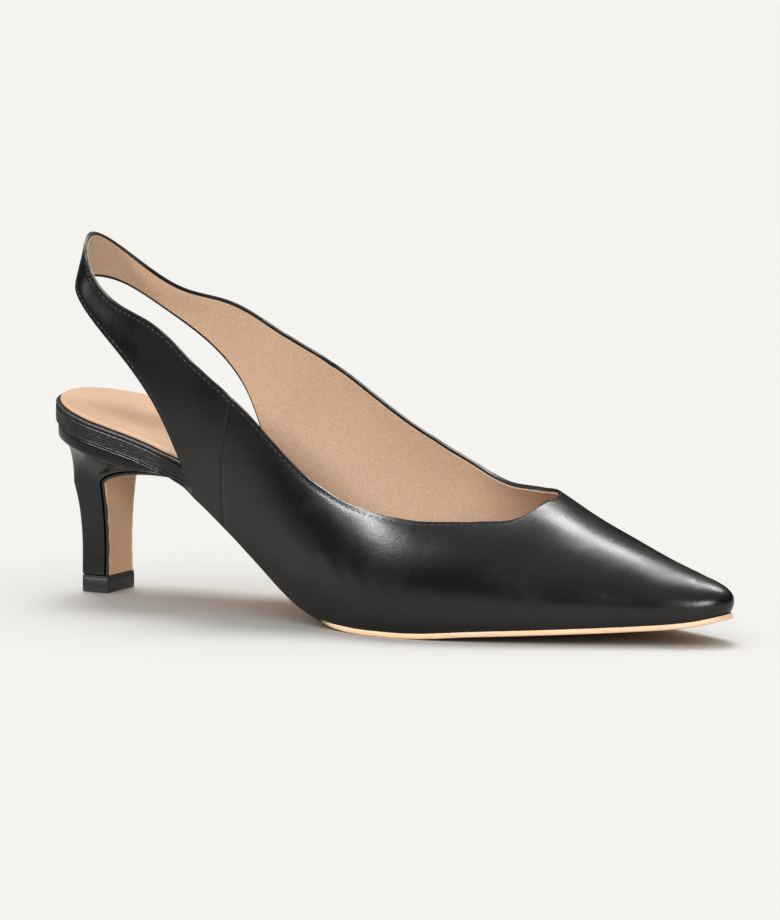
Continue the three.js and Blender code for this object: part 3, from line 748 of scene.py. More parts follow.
class PumpUpperSettings(PropertyGroup):
    leather_color: tint("Leather", "Black of the upper's leather", BLACK_LEATHER)
    # This colour also paints a highlight along the upper's folded edges.
    rubbed_and_highlight_color: tint("Rubbed", "Tone of rubbed edges and paler patches", (0.0075, 0.0071, 0.0068))
    lining_color: tint("Lining", "Tan of the lining leather", (0.44, 0.29, 0.19))
    leather_thickness: length("Leather thickness", "Thickness of the outer leather", 1.0, 0.4, 1.3)
    lining_drop: length("Lining drop", "How far the lining ends below the folded edge", 0.9, 0.0, 4)
    stitch_pitch: length("Stitch pitch", "Distance from one stitch to the next", 2.3, 1.5, 6)
    stitch_inset: length("Stitch inset", "Distance of the stitching from the folded edge", 1.3, 0.6, 4)
    crease_depth: length("Crease depth", "Depth of the soft creases across the ball", 0.35, 0.0, 1.5)


class PumpSoleSettings(PropertyGroup):
    sole_color: tint("Sole", "Tan of the sole and of the flap on the heel", (0.50, 0.29, 0.16))
    edge_color: tint("Edge", "Natural colour of the sole's edge", (0.74, 0.50, 0.31))
    sock_color: tint("Sock", "Tan of the sock lining", (0.46, 0.29, 0.18))
    rim_lines: IntProperty(
        name="Rim lines", description="Fine ridges round the covered seat rim", default=4, min=0, max=8)


class PumpHeelSettings(PropertyGroup):
    cover_color: tint("Cover", "Black of the heel's cover", BLACK_LEATHER)
    edge_round: length("Edge rounding", "Rounding along the heel's edges", 0.5, 0.1, 1.5)


class PumpStageSettings(PropertyGroup):
    floor_color: tint("Floor", "Pale studio floor", (0.90, 0.895, 0.87))
    azimuth: turn("Azimuth", "How far the camera looks round from the shoe's side", 29)
    tilt: turn("Tilt", "How far the camera's level lies below its line of sight", 5.6)
    distance: FloatProperty(
        name="Distance", description="Distance of the camera from the shoe", default=2.5, min=0.5,
        unit="LENGTH")
    lens: FloatProperty(name="Lens", description="Focal length", default=300, min=20, unit="CAMERA")
    overhead: FloatProperty(
        name="Overhead", description="Strength of the overhead light", default=1.47, min=0)
    key: power("Key", "Power of the key softbox", 20)
    ridge: power("Ridge", "Power of the toe ridge's softbox", 14)
    fill: power("Fill", "Power of the fill from the toe's side", 14)
    heel: power("Heel", "Power of the heel's softbox", 3)


def soft_trough(distance, width):
    """A soft trough of depth 1 across a line at distance 0, with low shoulders beside it."""
    u = distance / width
    return np.exp(-u * u) - 0.35 * np.exp(-((np.abs(u) - 1.9) ** 2))


# Soft creases across the outer and inner side of the vamp: x, length of its run, lean back, depth
CREASES = (
    (126.0, 16.0, 0.55, 1.0), (119.0, 20.0, 0.6, 0.8), (133.5, 13.0, 0.5, 0.7), (110.5, 22.0, 0.7, 0.55),
)
# Stands for a place that no edge is near
FAR = 99.0
# How far the upper's foot comes down onto the sole, and the length over which it does
FOOT_DROP = 0.27
FOOT_BEND = 0.7
SEAM_PLACE = 12.81
SEAM_SLANT = 0.44
SEAM_SPREAD = 0.6


def seam_shift(place, share):
    """How far the side seam's slant moves the net's columns near it."""
    return SEAM_SLANT * (share - 0.5) * np.exp(-(((place - SEAM_PLACE) / SEAM_SPREAD) ** 2))


def upper_columns():
    """Rows from the nose round the strap and back, denser at the side seams and at the strap's roots."""
    corner = float(CORNER)
    for _ in range(30):
        corner = CORNER - seam_shift(corner, 0.0)
    places = [i / 9 for i in range(LAST * 9 + 1)]
    places = [place for place in places if abs(place - corner) > 0.06 and abs(place - SEAM_PLACE) > 0.07]
    places += [corner]
    beside = (0.009, 0.018, 0.028, 0.05)
    places += [SEAM_PLACE] + [SEAM_PLACE + step for step in beside] + [SEAM_PLACE - step for step in beside]
    places = np.array(sorted(places))
    return np.concatenate([places, 2 * LAST - places[-2:0:-1]])


def upper_shares():
    """Shares up the upper's strips, closer together at both edges."""
    middle = np.linspace(0.05, 0.95, 31)
    return np.concatenate([[0, 0.006, 0.016, 0.03], middle, [0.97, 0.984, 0.994, 1]])


def upper_net():
    """A net of points on the last, with its outward directions, runs up from the foot and places."""
    lap = upper_columns()[:, None]
    share = upper_shares()[None, :]
    place = np.where(lap <= LAST, lap, 2 * LAST - lap)
    moved = seam_shift(place, share)
    lap = np.where(lap <= LAST, lap + moved, lap - moved)
    share = np.broadcast_to(share, lap.shape)
    points = on_upper(lap, share)
    length = np.linalg.norm(np.diff(points, axis=1), axis=-1)
    run_up = np.concatenate([np.zeros((len(lap), 1)), np.cumsum(length, axis=1)], axis=1)
    return points, outward(points), run_up, place + 0 * share


def side_seam(points, place):
    """Distance from the side seams, in millimetres."""
    row_length = stations[CORNER] - stations[CORNER - 1]
    return np.abs(np.broadcast_to(place, points.shape[:2]) - SEAM_PLACE) * row_length


def crease_shape(points):
    """Soft troughs across the ball, where the shoe bends."""
    x, y, z = points[..., 0], points[..., 1], points[..., 2]
    total = np.zeros_like(x)
    for start, reach, lean, depth in CREASES:
        line = x - (start - lean * (z - 8.0))
        height = np.exp(-(((z - 15.0) / (0.62 * reach)) ** 2))
        total += depth * soft_trough(line, 2.6) * height * smooth(np.abs(y), 12.0, 26.0)
    return total


class PUMP_OT_upper(Operator):
    """Build the outer leather: vamp, quarters and heel strap, with folded edges and side seams"""
    bl_idname = "pump.upper"
    bl_label = "Upper Leather"

    def execute(self, context):
        settings = context.scene.pump_upper
        points, normals, run_up, place = upper_net()
        seam = side_seam(points, place)
        groove = 0.28 * np.exp(-((seam / 0.32) ** 2)) + 0.1 * smooth(seam, 1.6, 0.0)
        edge = np.minimum(run_up, np.where(place > APEX, run_up[:, -1:] - run_up, FAR))
        forepart = 1 - smooth(place, CORNER - 0.5, CORNER)
        edge = np.where(run_up < run_up[:, -1:] / 2, mix(edge, FAR, forepart), edge)
        edge = np.where(place <= APEX, FAR, edge)
        creases = settings.crease_depth / MM * crease_shape(points) * 0.5
        depth = groove * smooth(edge, 0.0, 1.0) + creases
        stitch_line = settings.stitch_inset / MM
        depth = depth + 0.09 * np.exp(-(((edge - stitch_line) / 0.55) ** 2))
        moved = points - normals * depth[..., None]
        moved[..., 2] -= FOOT_DROP * forepart * np.exp(-run_up / FOOT_BEND)
        # Partly a rubbed fold and partly a painted highlight: rim lightens the leather's colour along the
        # folded edges.
        rim = np.exp(-edge / 0.55)
        upper = net("upper_leather", closed(moved), rim=closed(rim))
        shell = upper.modifiers.new("Thickness", "SOLIDIFY")
        shell.thickness = settings.leather_thickness
        shell.offset = -1
        shell.use_rim = True
        rounding = upper.modifiers.new("Folded edge", "BEVEL")
        rounding.width = 0.42 * MM
        rounding.segments = 3
        rounding.limit_method = "ANGLE"
        rounding.angle_limit = math.radians(62)
        rounding.harden_normals = False
        upper.data.materials.append(leather(
            "Black calf leather", settings.leather_color, settings.rubbed_and_highlight_color, 0.25, rim="rim",
            scuffs=0.06, depth=0.022, wrinkles=0.12, dust=0.05, swell=6.0))
        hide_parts("upper")
        return {"FINISHED"}


class PUMP_OT_lining(Operator):
    """Build the lining, which ends just below the folded edges"""
    bl_idname = "pump.lining"
    bl_label = "Upper Lining"

    def execute(self, context):
        settings = context.scene.pump_upper
        points, normals, run_up, place = upper_net()
        whole = run_up[:, -1:]
        drop = settings.lining_drop / MM
        low = drop * smooth(place[:, :1], CORNER - 0.4, CORNER)
        high = np.where(place[:, :1] > APEX, drop * smooth(place[:, :1], APEX, APEX + 0.25), 0.0)
        target = low + (whole - low - high) * (run_up / whole)
        inset = settings.leather_thickness / MM + 0.05
        moved = np.empty_like(points)
        for i in range(len(points)):
            for axis in range(3):
                sunk = points[i, :, axis] - normals[i, :, axis] * inset
                moved[i, :, axis] = np.interp(target[i], run_up[i], sunk)
        lining = net("upper_lining", closed(moved))
        shell = lining.modifiers.new("Thickness", "SOLIDIFY")
        shell.thickness = (WALL - 0.04) * MM - inset * MM
        shell.offset = -1
        lining.data.materials.append(leather(
            "Tan lining leather", settings.lining_color, (0.52, 0.36, 0.25), 0.5, pore=0.8, depth=0.04,
            scuffs=0.2))
        return {"FINISHED"}


def stitch_run(path, out, pitch):
    """Places along a path one pitch apart, with the way along and the way out of the surface."""
    step = np.linalg.norm(np.diff(path, axis=0), axis=1)
    along = np.concatenate([[0], np.cumsum(step)])
    count = max(2, int(along[-1] / pitch))
    marks = (np.arange(count) + 0.5) * along[-1] / count

    def read(places, values):
        return np.stack([np.interp(places, along, values[:, axis]) for axis in range(3)], axis=1)

    way = read(marks + 0.4, path) - read(marks - 0.4, path)
    return read(marks, path), unit(way), unit(read(marks, out))


def add_stitch(bm, at, along, out, length, width, height):
    """One stitch: a low rounded bead along its seam, its ends sunk into the leather."""
    side = np.cross(out, along)
    axes = np.stack([side * width / 2, out * height, along * length / 2], axis=1)
    axes = Matrix.Translation(Vector(at * MM)) @ Matrix(axes.tolist()).to_4x4()
    bmesh.ops.create_uvsphere(bm, u_segments=6, v_segments=5, radius=MM, matrix=axes)


class PUMP_OT_stitching(Operator):
    """Sew the folded edges of the topline and of the heel strap"""
    bl_idname = "pump.stitching"
    bl_label = "Edge Stitching"

    def execute(self, context):
        settings = context.scene.pump_upper
        points, normals, run_up, place = upper_net()
        inset = settings.stitch_inset / MM
        pitch = settings.stitch_pitch / MM
        runs = []
        for chosen, low in ((place[:, 0] > APEX + 0.02, False), (place[:, 0] >= CORNER, True)):
            order = np.flatnonzero(chosen)
            path = []
            out = []
            for i in order:
                at = inset if low else run_up[i, -1] - inset
                path.append([np.interp(at, run_up[i], points[i, :, axis]) for axis in range(3)])
                out.append([np.interp(at, run_up[i], normals[i, :, axis]) for axis in range(3)])
            runs.append((np.array(path), np.array(out)))
        mesh = bpy.data.meshes.new("edge_stitching")
        bm = bmesh.new()
        for path, out in runs:
            for at, along, face in zip(*stitch_run(path, out, pitch)):
                add_stitch(bm, at - face * 0.02, along, face, pitch * 0.8, 0.34, 0.13)
        bm.to_mesh(mesh)
        bm.free()
        stitches = place_piece("edge_stitching", mesh)
        stitches.data.materials.append(thread_material("Black waxed thread", (0.012, 0.011, 0.011)))
        return {"FINISHED"}


# Insole and sock
INNER_GAP = WALL + 2 * CLEARANCE
RIM_START = at_length(0.24)
RIM_FULL = at_length(0.205)


def seat_pairs(inset):
    """The insole's outline in pairs of points from nose to seat back, moved in by inset."""
    pairs = feather_pair(fore_stations(at_length(ROWS["foot"][CORNER])), -INNER_GAP - inset)
    end = [side[-1] for side in pairs]
    radius = HALF_SEAT - inset
    centre = SEAT_BACK + HALF_SEAT
    straight = np.linspace(end[0][0], centre, 21)[1:]
    round_back = centre - radius * np.sin(np.arange(1, 37) * math.pi / 72)
    x = np.concatenate([straight, round_back])
    half = np.sqrt(np.maximum(radius ** 2 - np.maximum(0, centre - x) ** 2, 0))
    half[-1] = 0
    out = 1 - smooth(x, RIM_FULL, RIM_START)
    sides = []
    for side, fore in zip((OUTER, INNER), pairs):
        y = mix(end[0 if side == OUTER else 1][1], side * half, out)
        sides.append(np.concatenate([fore, np.stack([x, y, 0 * x], axis=1)]))
    return sides


def insole_height(x):
    return mix(SEAT_RIM, INSOLE, smooth(x, RIM_START, at_length(0.33)))


def insole_top(x, side):
    """Height of the insole's top, dished across the seat."""
    dished = smooth(x, SEAT_BACK, SEAT_BACK + HALF_SEAT) * (1 - smooth(x, RIM_FULL, at_length(0.4)))
    return feather(x) + insole_height(x) - SEAT_DISH * dished * (1 - side ** 2)


def layer_net(levels, top, under, across=14):
    """A layer in the outline of the insole: levels are pairs of inset and height over the insole's
    bottom as a function of the place along, from its top edge to its lower edge."""
    first = seat_pairs(levels[0][0])
    last = seat_pairs(levels[-1][0])
    loop = []
    for j in range(across + 1):
        share = j / across
        row = mix(first[0], first[1], share)
        row[:, 2] = top(row[:, 0], 2 * share - 1)
        loop.append(row)
    for inset, height in levels:
        row = seat_pairs(inset)[1].copy()
        row[:, 2] = height(row[:, 0])
        loop.append(row)
    for j in range(across + 1):
        share = 1 - j / across
        row = mix(last[0], last[1], share)
        row[:, 2] = under(row[:, 0], 2 * share - 1)
        loop.append(row)
    for inset, height in reversed(levels):
        row = seat_pairs(inset)[0].copy()
        row[:, 2] = height(row[:, 0])
        loop.append(row)
    loop.append(loop[0])
    return np.stack(loop, axis=1)


def rim_levels(lines):
    """The covered seat rim from its bead down to its turned lower edge: inset and depth below its top."""
    levels = [(1.5, 0.0), (0.95, 0.0), (0.6, 0.03), (0.34, 0.13), (0.17, 0.32), (0.12, 0.55),
              (0.2, 0.8), (0.42, 0.98), (0.62, 1.08), (0.44, 1.2), (0.2, 1.36), (0.12, 1.6)]
    top, bottom = 1.75, 5.35
    steps = 8 * max(lines, 1)
    for i in range(steps + 1):
        share = i / steps
        wave = 0.05 * (1 - math.cos(2 * math.pi * lines * share))
        levels.append((0.06 + wave, mix(top, bottom, share)))
    levels += [(0.14, 5.5), (0.34, 5.62), (0.16, 5.75), (0.08, 5.95), (0.14, 6.14), (0.34, 6.28),
               (0.7, 6.3)]
    return levels


class PUMP_OT_insole(Operator):
    """Build the covered insole with its beaded rim round the open seat"""
    bl_idname = "pump.insole"
    bl_label = "Insole"

    def execute(self, context):
        def height_of(depth):
            return lambda x: feather(x) + insole_height(x) * (1 - depth / SEAT_RIM)

        lines = context.scene.pump_sole.rim_lines
        levels = [(inset, height_of(depth)) for inset, depth in rim_levels(lines)]
        points = layer_net(levels, insole_top, lambda x, side: feather(x))
        depth = feather(points[..., 0]) + insole_height(points[..., 0]) - points[..., 2]
        # Painted highlight: rim marks the bead at the rim's top and its lower edge, where the colour goes
        # towards the pale tone given below.
        rim = np.exp(-((depth - 0.2) / 0.35) ** 2) + 0.8 * np.exp(-((depth - 6.1) / 0.25) ** 2)
        rim = np.minimum(rim, 1) * (points[..., 0] < RIM_START)
        insole = net("insole_cover", points, rim=rim)
        settings = context.scene.pump_upper
        insole.data.materials.append(leather(
            "Black rim leather", settings.leather_color, (0.030, 0.028, 0.026), 0.3, pore=0.5, rim="rim",
            scuffs=0.15))
        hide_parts("insole")
        return {"FINISHED"}


class PUMP_OT_sock(Operator):
    """Build the tan sock lining with a soft pad under the heel"""
    bl_idname = "pump.sock"
    bl_label = "Sock Lining"

    def execute(self, context):
        def top(x, side):
            pad = 0.35 * (1 - smooth(x, 18.0, 42.0)) * (1 - smooth(np.abs(side), 0.5, 0.85))
            return insole_top(x, side) + CLEARANCE + SOCK + pad * smooth(x, SEAT_BACK + 6, SEAT_BACK + 14)

        def edge_height(rise):
            return lambda x: insole_top(x, 1.0) + CLEARANCE + rise

        bevel = (
            (0.55, SOCK), (0.3, SOCK - 0.05), (0.1, SOCK - 0.2), (0, SOCK - 0.5), (0, 0.15), (0.1, 0.0),
        )
        levels = [(SOCK_INSET + inset, edge_height(rise)) for inset, rise in bevel]
        points = layer_net(levels, top, lambda x, side: insole_top(x, side) + CLEARANCE, across=24)
        sock = net("sock_leather", points)
        color = context.scene.pump_sole.sock_color
        sock.data.materials.append(leather(
            "Tan sock leather", color, shade(color, 1.25), 0.5, pore=0.7, scuffs=0.35, wrinkles=0.4))
        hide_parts("sock_lining")
        return {"FINISHED"}


# Outsole
def heel_top(x):
    return feather(x) - CLEARANCE


def flange_under(x):
    return heel_top(x) - mix(FLANGE, WING, smooth(x, WING_REACH * 0.6, WING_REACH))


NECK = float(heel_top(0)) - FLANGE - FLARE
COLUMN_FRONT = TIP_LENGTH / 2 - FLAP - CLEARANCE
COLUMN_FOOT = LIFT + CLEARANCE
# The heel's column up from the lift: share of its height, depth behind and half width as shares
HEEL_COLUMN = np.array([
    (0, 0.5, 0.5), (0.33, 0.51, 0.478), (0.6, 0.535, 0.51), (0.82, 0.59, 0.57), (1, 0.67, 0.64),
])
column_curve = natural(HEEL_COLUMN[:, 0], HEEL_COLUMN[:, 1:])
FLANGE_HALF = HALF_SEAT - GROOVE
FLAP_INSET = 0.5
FLAP_NARROWING = 4.2
WING_GAP = 0.5
BLEND_LENGTH = 9.0


def column_half(up):
    return TIP_WIDTH * float(column_curve(up)[1])


def heel_front(bend):
    """The heel's front from the wings' ends (1) to the column (0): place, height, half width, spread."""
    spread = 1 - math.cos(bend * math.pi / 2)
    x = mix(COLUMN_FRONT, WING_REACH, spread)
    z = mix(NECK, float(flange_under(WING_REACH)), math.sin(bend * math.pi / 2))
    return x, z, mix(column_half(1), FLANGE_HALF, spread), spread


def sole_top(x):
    under = 1 - smooth(x, WING_REACH + WING_GAP, WING_REACH + BLEND_LENGTH)
    return heel_top(x) - under * (WING + CLEARANCE)


def sole_thickness(x):
    waist = mix(FLAP, WAIST_SOLE, smooth(x, WING_REACH, at_length(0.3)))
    whole = mix(waist, SOLE, smooth(x, at_length(0.44), at_length(0.52)))
    return np.where(np.asarray(x) < WING_REACH, FLAP, whole)


def sole_path():
    """The sole's two top edges from the nose back under the waist and down the heel's front."""
    at = fore_stations(at_length(ROWS["foot"][CORNER]))
    x = feather_run(at)[:, 0]
    grow = mix(-WAIST_INSET, SOLE_REACH, smooth(x, at_length(0.44), at_length(0.54)))[:, None]
    outer, inner = feather_pair(at, grow)
    for side in (outer, inner):
        side[:, 2] = sole_top(side[:, 0])
    ends = [side[-1] for side in feather_pair(at[-1:], -WAIST_INSET)]
    rows = []
    half = heel_front(1)[2] - FLAP_INSET - FLAP_NARROWING
    for i in range(1, 9):
        x = mix(ends[0][0], WING_REACH + WING_GAP, i / 8)
        row = []
        for end in ends:
            row.append((x, mix(end[1], math.copysign(half, end[1]), i / 8), float(sole_top(x))))
        rows.append(row)
    bends = 36
    for i in range(bends):
        x, z, half, spread = heel_front(1 - (i + 0.6) / bends)
        x_on, z_on = heel_front(1 - (i + 0.7) / bends)[:2]
        way = Vector((x_on - x, z_on - z)).normalized()
        half -= FLAP_INSET + FLAP_NARROWING * spread
        x -= CLEARANCE * way.y
        z += CLEARANCE * way.x
        rows.append([(x, -half, z), (x, half, z)])
    for i in range(13):
        z = mix(NECK, COLUMN_FOOT, i / 12)
        half = column_half((z - COLUMN_FOOT) / (NECK - COLUMN_FOOT)) - FLAP_INSET
        x = COLUMN_FRONT + CLEARANCE
        rows.append([(x, -half, z), (x, half, z)])
    rows = np.array(rows)
    return np.concatenate([outer, rows[:, 0]]), np.concatenate([inner, rows[:, 1]])


# Where the edge's black paint ends, and the outline of the edge as shares of inset and of thickness
PAINT_START = 100.5
SOLE_EDGE = (
    (0.4, 0.0), (0.12, 0.03), (0.03, 0.12), (-0.02, 0.3), (-0.05, 0.5), (-0.02, 0.7), (0.03, 0.86),
    (0.14, 0.96), (0.42, 1.0),
)


class PUMP_OT_outsole(Operator):
    """Build the leather sole with its natural and painted edges, and the flap down the heel's front"""
    bl_idname = "pump.outsole"
    bl_label = "Outsole and Flap"

    def execute(self, context):
        outer, inner = sole_path()
        middle = (outer + inner) / 2
        way = np.gradient(middle, axis=0)
        up = unit(np.stack([way[:, 2], 0 * way[:, 0], -way[:, 0]], axis=1))
        across = inner - outer
        width = np.linalg.norm(across, axis=1, keepdims=True)
        over = np.where(width > 0.5, across / np.maximum(width, 1e-6), 0.0)
        thick = sole_thickness(middle[:, 0])[:, None]
        down = (middle[:, 0] < WING_REACH)[:, None]
        reach = np.minimum(width * 0.3, 1.0)
        loop = []
        edge = []
        border = []
        shares = np.linspace(0, 1, 13)

        def add(points, on_edge, at_border):
            loop.append(points)
            edge.append(np.full(len(points), on_edge))
            border.append(at_border + 0 * points[:, 0])

        for share in shares:
            add(outer + over * 0.4 * reach + (across - over * 0.8 * reach) * share, 0.0, 0.0)
        for inset, depth in SOLE_EDGE:
            add(inner - over * inset * reach - up * thick * depth, 1.0, 0.0)
        lines = [0.42, 0.8, 1.15, 1.5]
        for inset in lines:
            add(inner - over * inset * reach - up * thick, 0.0, down[:, 0] * float(inset < 1))
        for share in shares[1:-1]:
            under = inner - over * 1.5 * reach - (across - over * 3 * reach) * share - up * thick
            add(under, 0.0, 0.0)
        for inset in reversed(lines):
            add(outer + over * inset * reach - up * thick, 0.0, down[:, 0] * float(inset < 1))
        for inset, depth in reversed(SOLE_EDGE):
            add(outer + over * inset * reach - up * thick * depth, 1.0, 0.0)
        loop.append(loop[0])
        edge.append(edge[0])
        border.append(border[0])
        points = np.stack(loop, axis=1)
        end = np.broadcast_to(points[-1:].mean(axis=1, keepdims=True), points[-1:].shape)
        points = np.concatenate([points, end])
        edge = np.stack(edge, axis=1)
        edge = np.concatenate([edge, edge[-1:]])
        border = np.stack(border, axis=1)
        border = np.concatenate([border, border[-1:]])
        x = points[..., 0]
        tread = smooth(x, 108.0, 128.0) * (1 - smooth(x, 172.0, 214.0)) * (1 - edge)
        sole = net("outsole_leather", points, edge=edge, border=border, tread=tread,
                   paint=edge * (1 - smooth(x, PAINT_START, PAINT_START + 2.5)))
        sole.data.materials.append(sole_material("Sole leather", context.scene.pump_sole))
        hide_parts("outsole")
        return {"FINISHED"}


# Heel
SQUARENESS = 9


def plan_outline(front, back, half, square, sides=14, backs=30):
    """A plan outline from the outer front corner round the back to the inner front corner."""
    depth = min(half, (front - back) / 2)
    centre = back + depth
    points = [(mix(front, centre, i / sides), half) for i in range(sides)]
    for i in range(backs + 1):
        angle = i * math.pi / 2 / backs
        sine, cosine = math.sin(angle), max(math.cos(angle), 0.0)
        points.append((centre - depth * sine ** (2 / square), half * cosine ** (2 / square)))
    outer = [(x, -y, 0) for x, y in points]
    inner = [(x, y, 0) for x, y in reversed(points[:-1])]
    return np.array(outer + inner)


def ring_net(rings):
    """A closed net from rings, lowest first, each end closed along the piece's middle line."""
    def closing(ring):
        rows = []
        for share in (0.66, 0.33, 0.0):
            row = ring.copy()
            row[:, 1] *= share
            rows.append(row)
        return rows

    rows = list(reversed(closing(rings[0]))) + list(rings) + closing(rings[-1])
    points = np.stack(rows)
    return np.concatenate([points, points[:, :1]], axis=1)


class PUMP_OT_heel(Operator):
    """Build the leather covered heel, from its column up to the flange under the seat"""
    bl_idname = "pump.heel"
    bl_label = "Covered Heel"

    def execute(self, context):
        radius = context.scene.pump_heel.edge_round / MM
        rings = []

        def column(up, inset=0.0, z=None):
            back, half = column_curve(up)
            ring = plan_outline(
                COLUMN_FRONT - inset, -TIP_LENGTH * back + inset, TIP_WIDTH * half - inset, SQUARENESS)
            ring[:, 2] = mix(COLUMN_FOOT, NECK, up) if z is None else z
            return ring

        for turn in (90, 60, 30):
            angle = math.radians(turn)
            sine = math.sin(angle)
            rings.append(column(0, radius * 0.6 * sine ** 2, COLUMN_FOOT + radius * 0.6 * (1 - sine)))
        for i in range(1, 25):
            rings.append(column(i / 24))
        neck = rings[-1]
        flange = plan_outline(WING_REACH, SEAT_BACK + GROOVE, FLANGE_HALF, 2)
        shrunk = plan_outline(WING_REACH - radius, SEAT_BACK + GROOVE + radius, FLANGE_HALF - radius, 2)
        for i in range(1, 25):
            angle = i / 24 * math.pi / 2
            ring = mix(neck, shrunk, 1 - math.cos(angle))
            ring[:, 2] = mix(NECK, flange_under(shrunk[:, 0]), math.sin(angle))
            rings.append(ring)
        thick = heel_top(flange[:, 0]) - flange_under(flange[:, 0])
        rounding = np.minimum(radius, thick * 0.4)
        for turn in (30, 60, 90):
            angle = math.radians(turn)
            ring = mix(shrunk, flange, math.sin(angle))
            ring[:, 2] = flange_under(ring[:, 0]) + rounding * (1 - math.cos(angle))
            rings.append(ring)
        for share in (0.35, 0.65):
            ring = flange.copy()
            ring[:, 2] = flange_under(flange[:, 0]) + rounding + (thick - 2 * rounding) * share
            rings.append(ring)
        for turn in (90, 60, 30, 0):
            angle = math.radians(turn)
            ring = mix(shrunk, flange, math.sin(angle))
            ring[:, 2] = heel_top(ring[:, 0]) - rounding * (1 - math.cos(angle))
            rings.append(ring)
        points = ring_net(rings)
        x, z = points[..., 0], points[..., 2]
        # Painted highlight: rim marks the heel's top edge and the flange's lower edge, where the colour
        # goes towards the paler tone given below.
        rim = np.exp(-((heel_top(x) - z) / 0.5) ** 2) + 0.6 * np.exp(-((z - flange_under(x)) / 0.4) ** 2)
        heel = net("heel_cover", points, rim=np.minimum(rim, 1))
        settings = context.scene.pump_heel
        heel.data.materials.append(leather(
            "Black heel leather", settings.cover_color, (0.012, 0.0115, 0.011), 0.24, pore=0.5,
            depth=0.035, rim="rim", scuffs=0.15))
        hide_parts("heel")
        return {"FINISHED"}


class PUMP_OT_top_piece(Operator):
    """Build the rubber top piece that the heel stands on"""
    bl_idname = "pump.top_piece"
    bl_label = "Top Piece"

    def execute(self, context):
        levels = ((0.0, 0.35), (0.06, 0.16), (0.2, 0.05), (0.4, 0.0), (1.7, 0.0), (2.75, 0.0), (4.7, 0.0),
                  (4.8, 0.1), (4.95, 0.12), (5.08, 0.02), (5.3, 0.02), (5.42, 0.08), (LIFT, 0.25))
        rings = []
        for z, ease in levels:
            ring = plan_outline(
                TIP_LENGTH / 2 - ease, -TIP_LENGTH / 2 + ease, TIP_WIDTH / 2 - ease, SQUARENESS)
            ring[:, 2] = z
            rings.append(ring)
        piece = net("top_piece_rubber", ring_net(rings))
        piece.data.materials.append(rubber_material("Heel rubber"))
        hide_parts("top_piece")
        return {"FINISHED"}


def add_area(name, place, target, size, power, color=(1, 1, 1)):
    """A soft studio light that faces a point."""
    light = bpy.data.lights.new(name, "AREA")
    light.shape = "RECTANGLE"
    light.size, light.size_y = size
    light.energy = power
    light.color = color
    lamp = bpy.data.objects.new(name, light)
    bpy.context.scene.collection.objects.link(lamp)
    lamp.location = place
    lamp.rotation_euler = (Vector(target) - Vector(place)).to_track_quat("-Z", "Y").to_euler()
    return lamp


def add_sun(name, direction, spread, strength):
    """A soft light from far away, so that the whole floor is lit alike."""
    light = bpy.data.lights.new(name, "SUN")
    light.angle = math.radians(spread)
    light.energy = strength
    lamp = bpy.data.objects.new(name, light)
    bpy.context.scene.collection.objects.link(lamp)
    lamp.rotation_euler = Vector(direction).to_track_quat("Z", "Y").to_euler()
    return lamp


BACKDROP = (0.913, 0.905, 0.871, 1.0)


def studio_air():
    """The studio's light from all round, brighter overhead, and a backdrop in the floor's tone."""
    world = bpy.data.worlds.new("Studio air")
    world.use_nodes = True
    nodes = Nodes(world.node_tree)
    way = nodes.add("ShaderNodeTexCoord").outputs["Generated"]
    height = nodes.add("ShaderNodeSeparateXYZ", {0: way}).outputs[2]
    ray = nodes.add("ShaderNodeLightPath").outputs
    soft = nodes.fit(height, 0.0, 0.9, 0.16, 0.78)
    mirrored = nodes.fit(height, 0.25, 1.0, 0.02, 0.62)
    glow = nodes.add("ShaderNodeMix", {0: ray["Is Glossy Ray"], 2: soft, 3: mirrored}).outputs[0]
    air = nodes.blend((0.0, 0.0, 0.0, 1.0), (1.0, 0.99, 0.97, 1.0), glow)
    seen = ray["Is Camera Ray"]
    backdrop = world.node_tree.nodes["Background"]
    nodes.set(backdrop.inputs["Color"], nodes.blend(air, BACKDROP, seen))
    return world


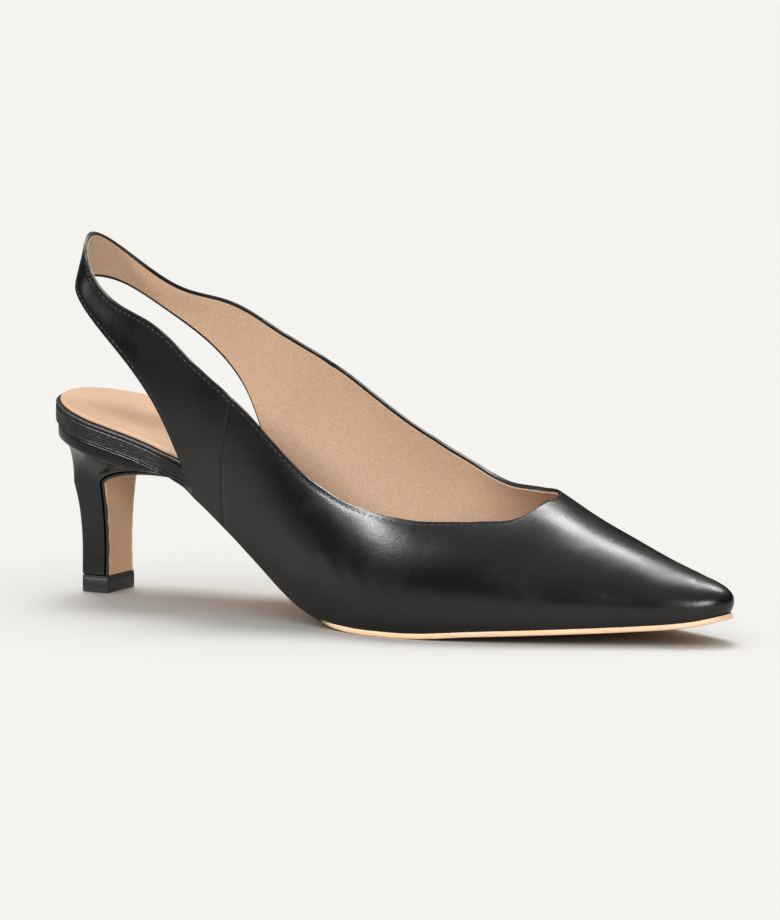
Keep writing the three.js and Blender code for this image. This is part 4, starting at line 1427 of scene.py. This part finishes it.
class PUMP_OT_stage(Operator):
    """Lay the studio floor and set the lights and the camera at the photograph's angle"""
    bl_idname = "pump.stage"
    bl_label = "Studio Stage"

    def execute(self, context):
        settings = context.scene.pump_stage
        mesh = bpy.data.meshes.new("studio_floor")
        bm = bmesh.new()
        bmesh.ops.create_grid(bm, x_segments=40, y_segments=40, size=30)
        bm.to_mesh(mesh)
        bm.free()
        floor = bpy.data.objects.new("studio_floor", mesh)
        context.scene.collection.objects.link(floor)
        floor.data.materials.append(floor_material("Studio floor", settings.floor_color))
        floor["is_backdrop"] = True
        turn, tilt = settings.azimuth, settings.tilt
        right = Vector((math.cos(turn), math.sin(turn), 0))
        level = Vector((-math.sin(turn), math.cos(turn), 0)) * math.cos(tilt)
        ahead = level - Vector((0, 0, math.sin(tilt)))
        up = right.cross(ahead)
        place = right * 0.1115 + up * 0.15364 - ahead * settings.distance
        centre = Vector((0.106, 0.0, 0.050))
        camera = bpy.data.cameras.new("Camera")
        camera.lens = settings.lens
        camera.clip_start = 0.1
        camera.clip_end = 100
        viewer = bpy.data.objects.new("Camera", camera)
        context.scene.collection.objects.link(viewer)
        viewer.location = place
        viewer.rotation_euler = (centre - place).to_track_quat("-Z", "Y").to_euler()
        context.scene.camera = viewer
        shoe = (0.12, 0.0, 0.03)
        add_sun("Overhead light", (-0.25, 0.35, 1.0), 28, settings.overhead)
        softboxes = (
            add_area("Key softbox", (-0.42, -0.95, 0.93), shoe, (0.22, 0.2), settings.key,
                     (0.95, 0.97, 1.0)),
            add_area("Ridge softbox", (0.27, 1.1, 1.5), shoe, (0.6, 0.45), settings.ridge),
            add_area("Toe fill", (1.25, -1.0, 0.4), (0.0, 0.0, 0.03), (0.4, 0.4), settings.fill),
            add_area("Heel softbox", (-1.4, -0.35, 0.9), (0.0, 0.0, 0.05), (0.25, 0.7), settings.heel),
        )
        lit = bpy.data.collections.new("Lit by the softboxes")
        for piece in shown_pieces():
            lit.objects.link(piece)
        for lamp in softboxes:
            lamp.light_linking.receiver_collection = lit
        context.scene.world = studio_air()
        context.scene.view_settings.view_transform = "Standard"
        return {"FINISHED"}


class PUMP_PT_panel(Panel):
    """Sizes and colours of the pump, with a button for each piece"""
    bl_label = "Slingback Pump"
    bl_idname = "PUMP_PT_panel"
    bl_space_type = "VIEW_3D"
    bl_region_type = "UI"
    bl_category = "Pump"

    def draw(self, context):
        layout = self.layout
        scene = context.scene
        for title, settings in (("Upper", scene.pump_upper), ("Sole", scene.pump_sole),
                                ("Heel", scene.pump_heel), ("Stage", scene.pump_stage)):
            box = layout.box()
            box.label(text=title)
            for key in settings.__annotations__:
                box.prop(settings, key)
        for operator in PIECES:
            layout.operator(operator.bl_idname)


SETTINGS = (
    ("pump_upper", PumpUpperSettings),
    ("pump_sole", PumpSoleSettings),
    ("pump_heel", PumpHeelSettings),
    ("pump_stage", PumpStageSettings),
)
PIECES = (
    PUMP_OT_upper,
    PUMP_OT_lining,
    PUMP_OT_stitching,
    PUMP_OT_insole,
    PUMP_OT_sock,
    PUMP_OT_outsole,
    PUMP_OT_heel,
    PUMP_OT_top_piece,
    PUMP_OT_stage,
)


def register():
    """Register the settings, the operators and the panel."""
    for name, group in SETTINGS:
        bpy.utils.register_class(group)
        setattr(bpy.types.Scene, name, PointerProperty(type=group))
    for operator in PIECES:
        bpy.utils.register_class(operator)
    bpy.utils.register_class(PUMP_PT_panel)


def unregister():
    """Remove everything that register adds."""
    bpy.utils.unregister_class(PUMP_PT_panel)
    for operator in reversed(PIECES):
        bpy.utils.unregister_class(operator)
    for name, group in reversed(SETTINGS):
        delattr(bpy.types.Scene, name)
        bpy.utils.unregister_class(group)


def main():
    """Build every piece and the stage."""
    register()
    for operator in PIECES:
        group, name = operator.bl_idname.split(".")
        getattr(getattr(bpy.ops, group), name)()


if __name__ == "__main__":
    main()
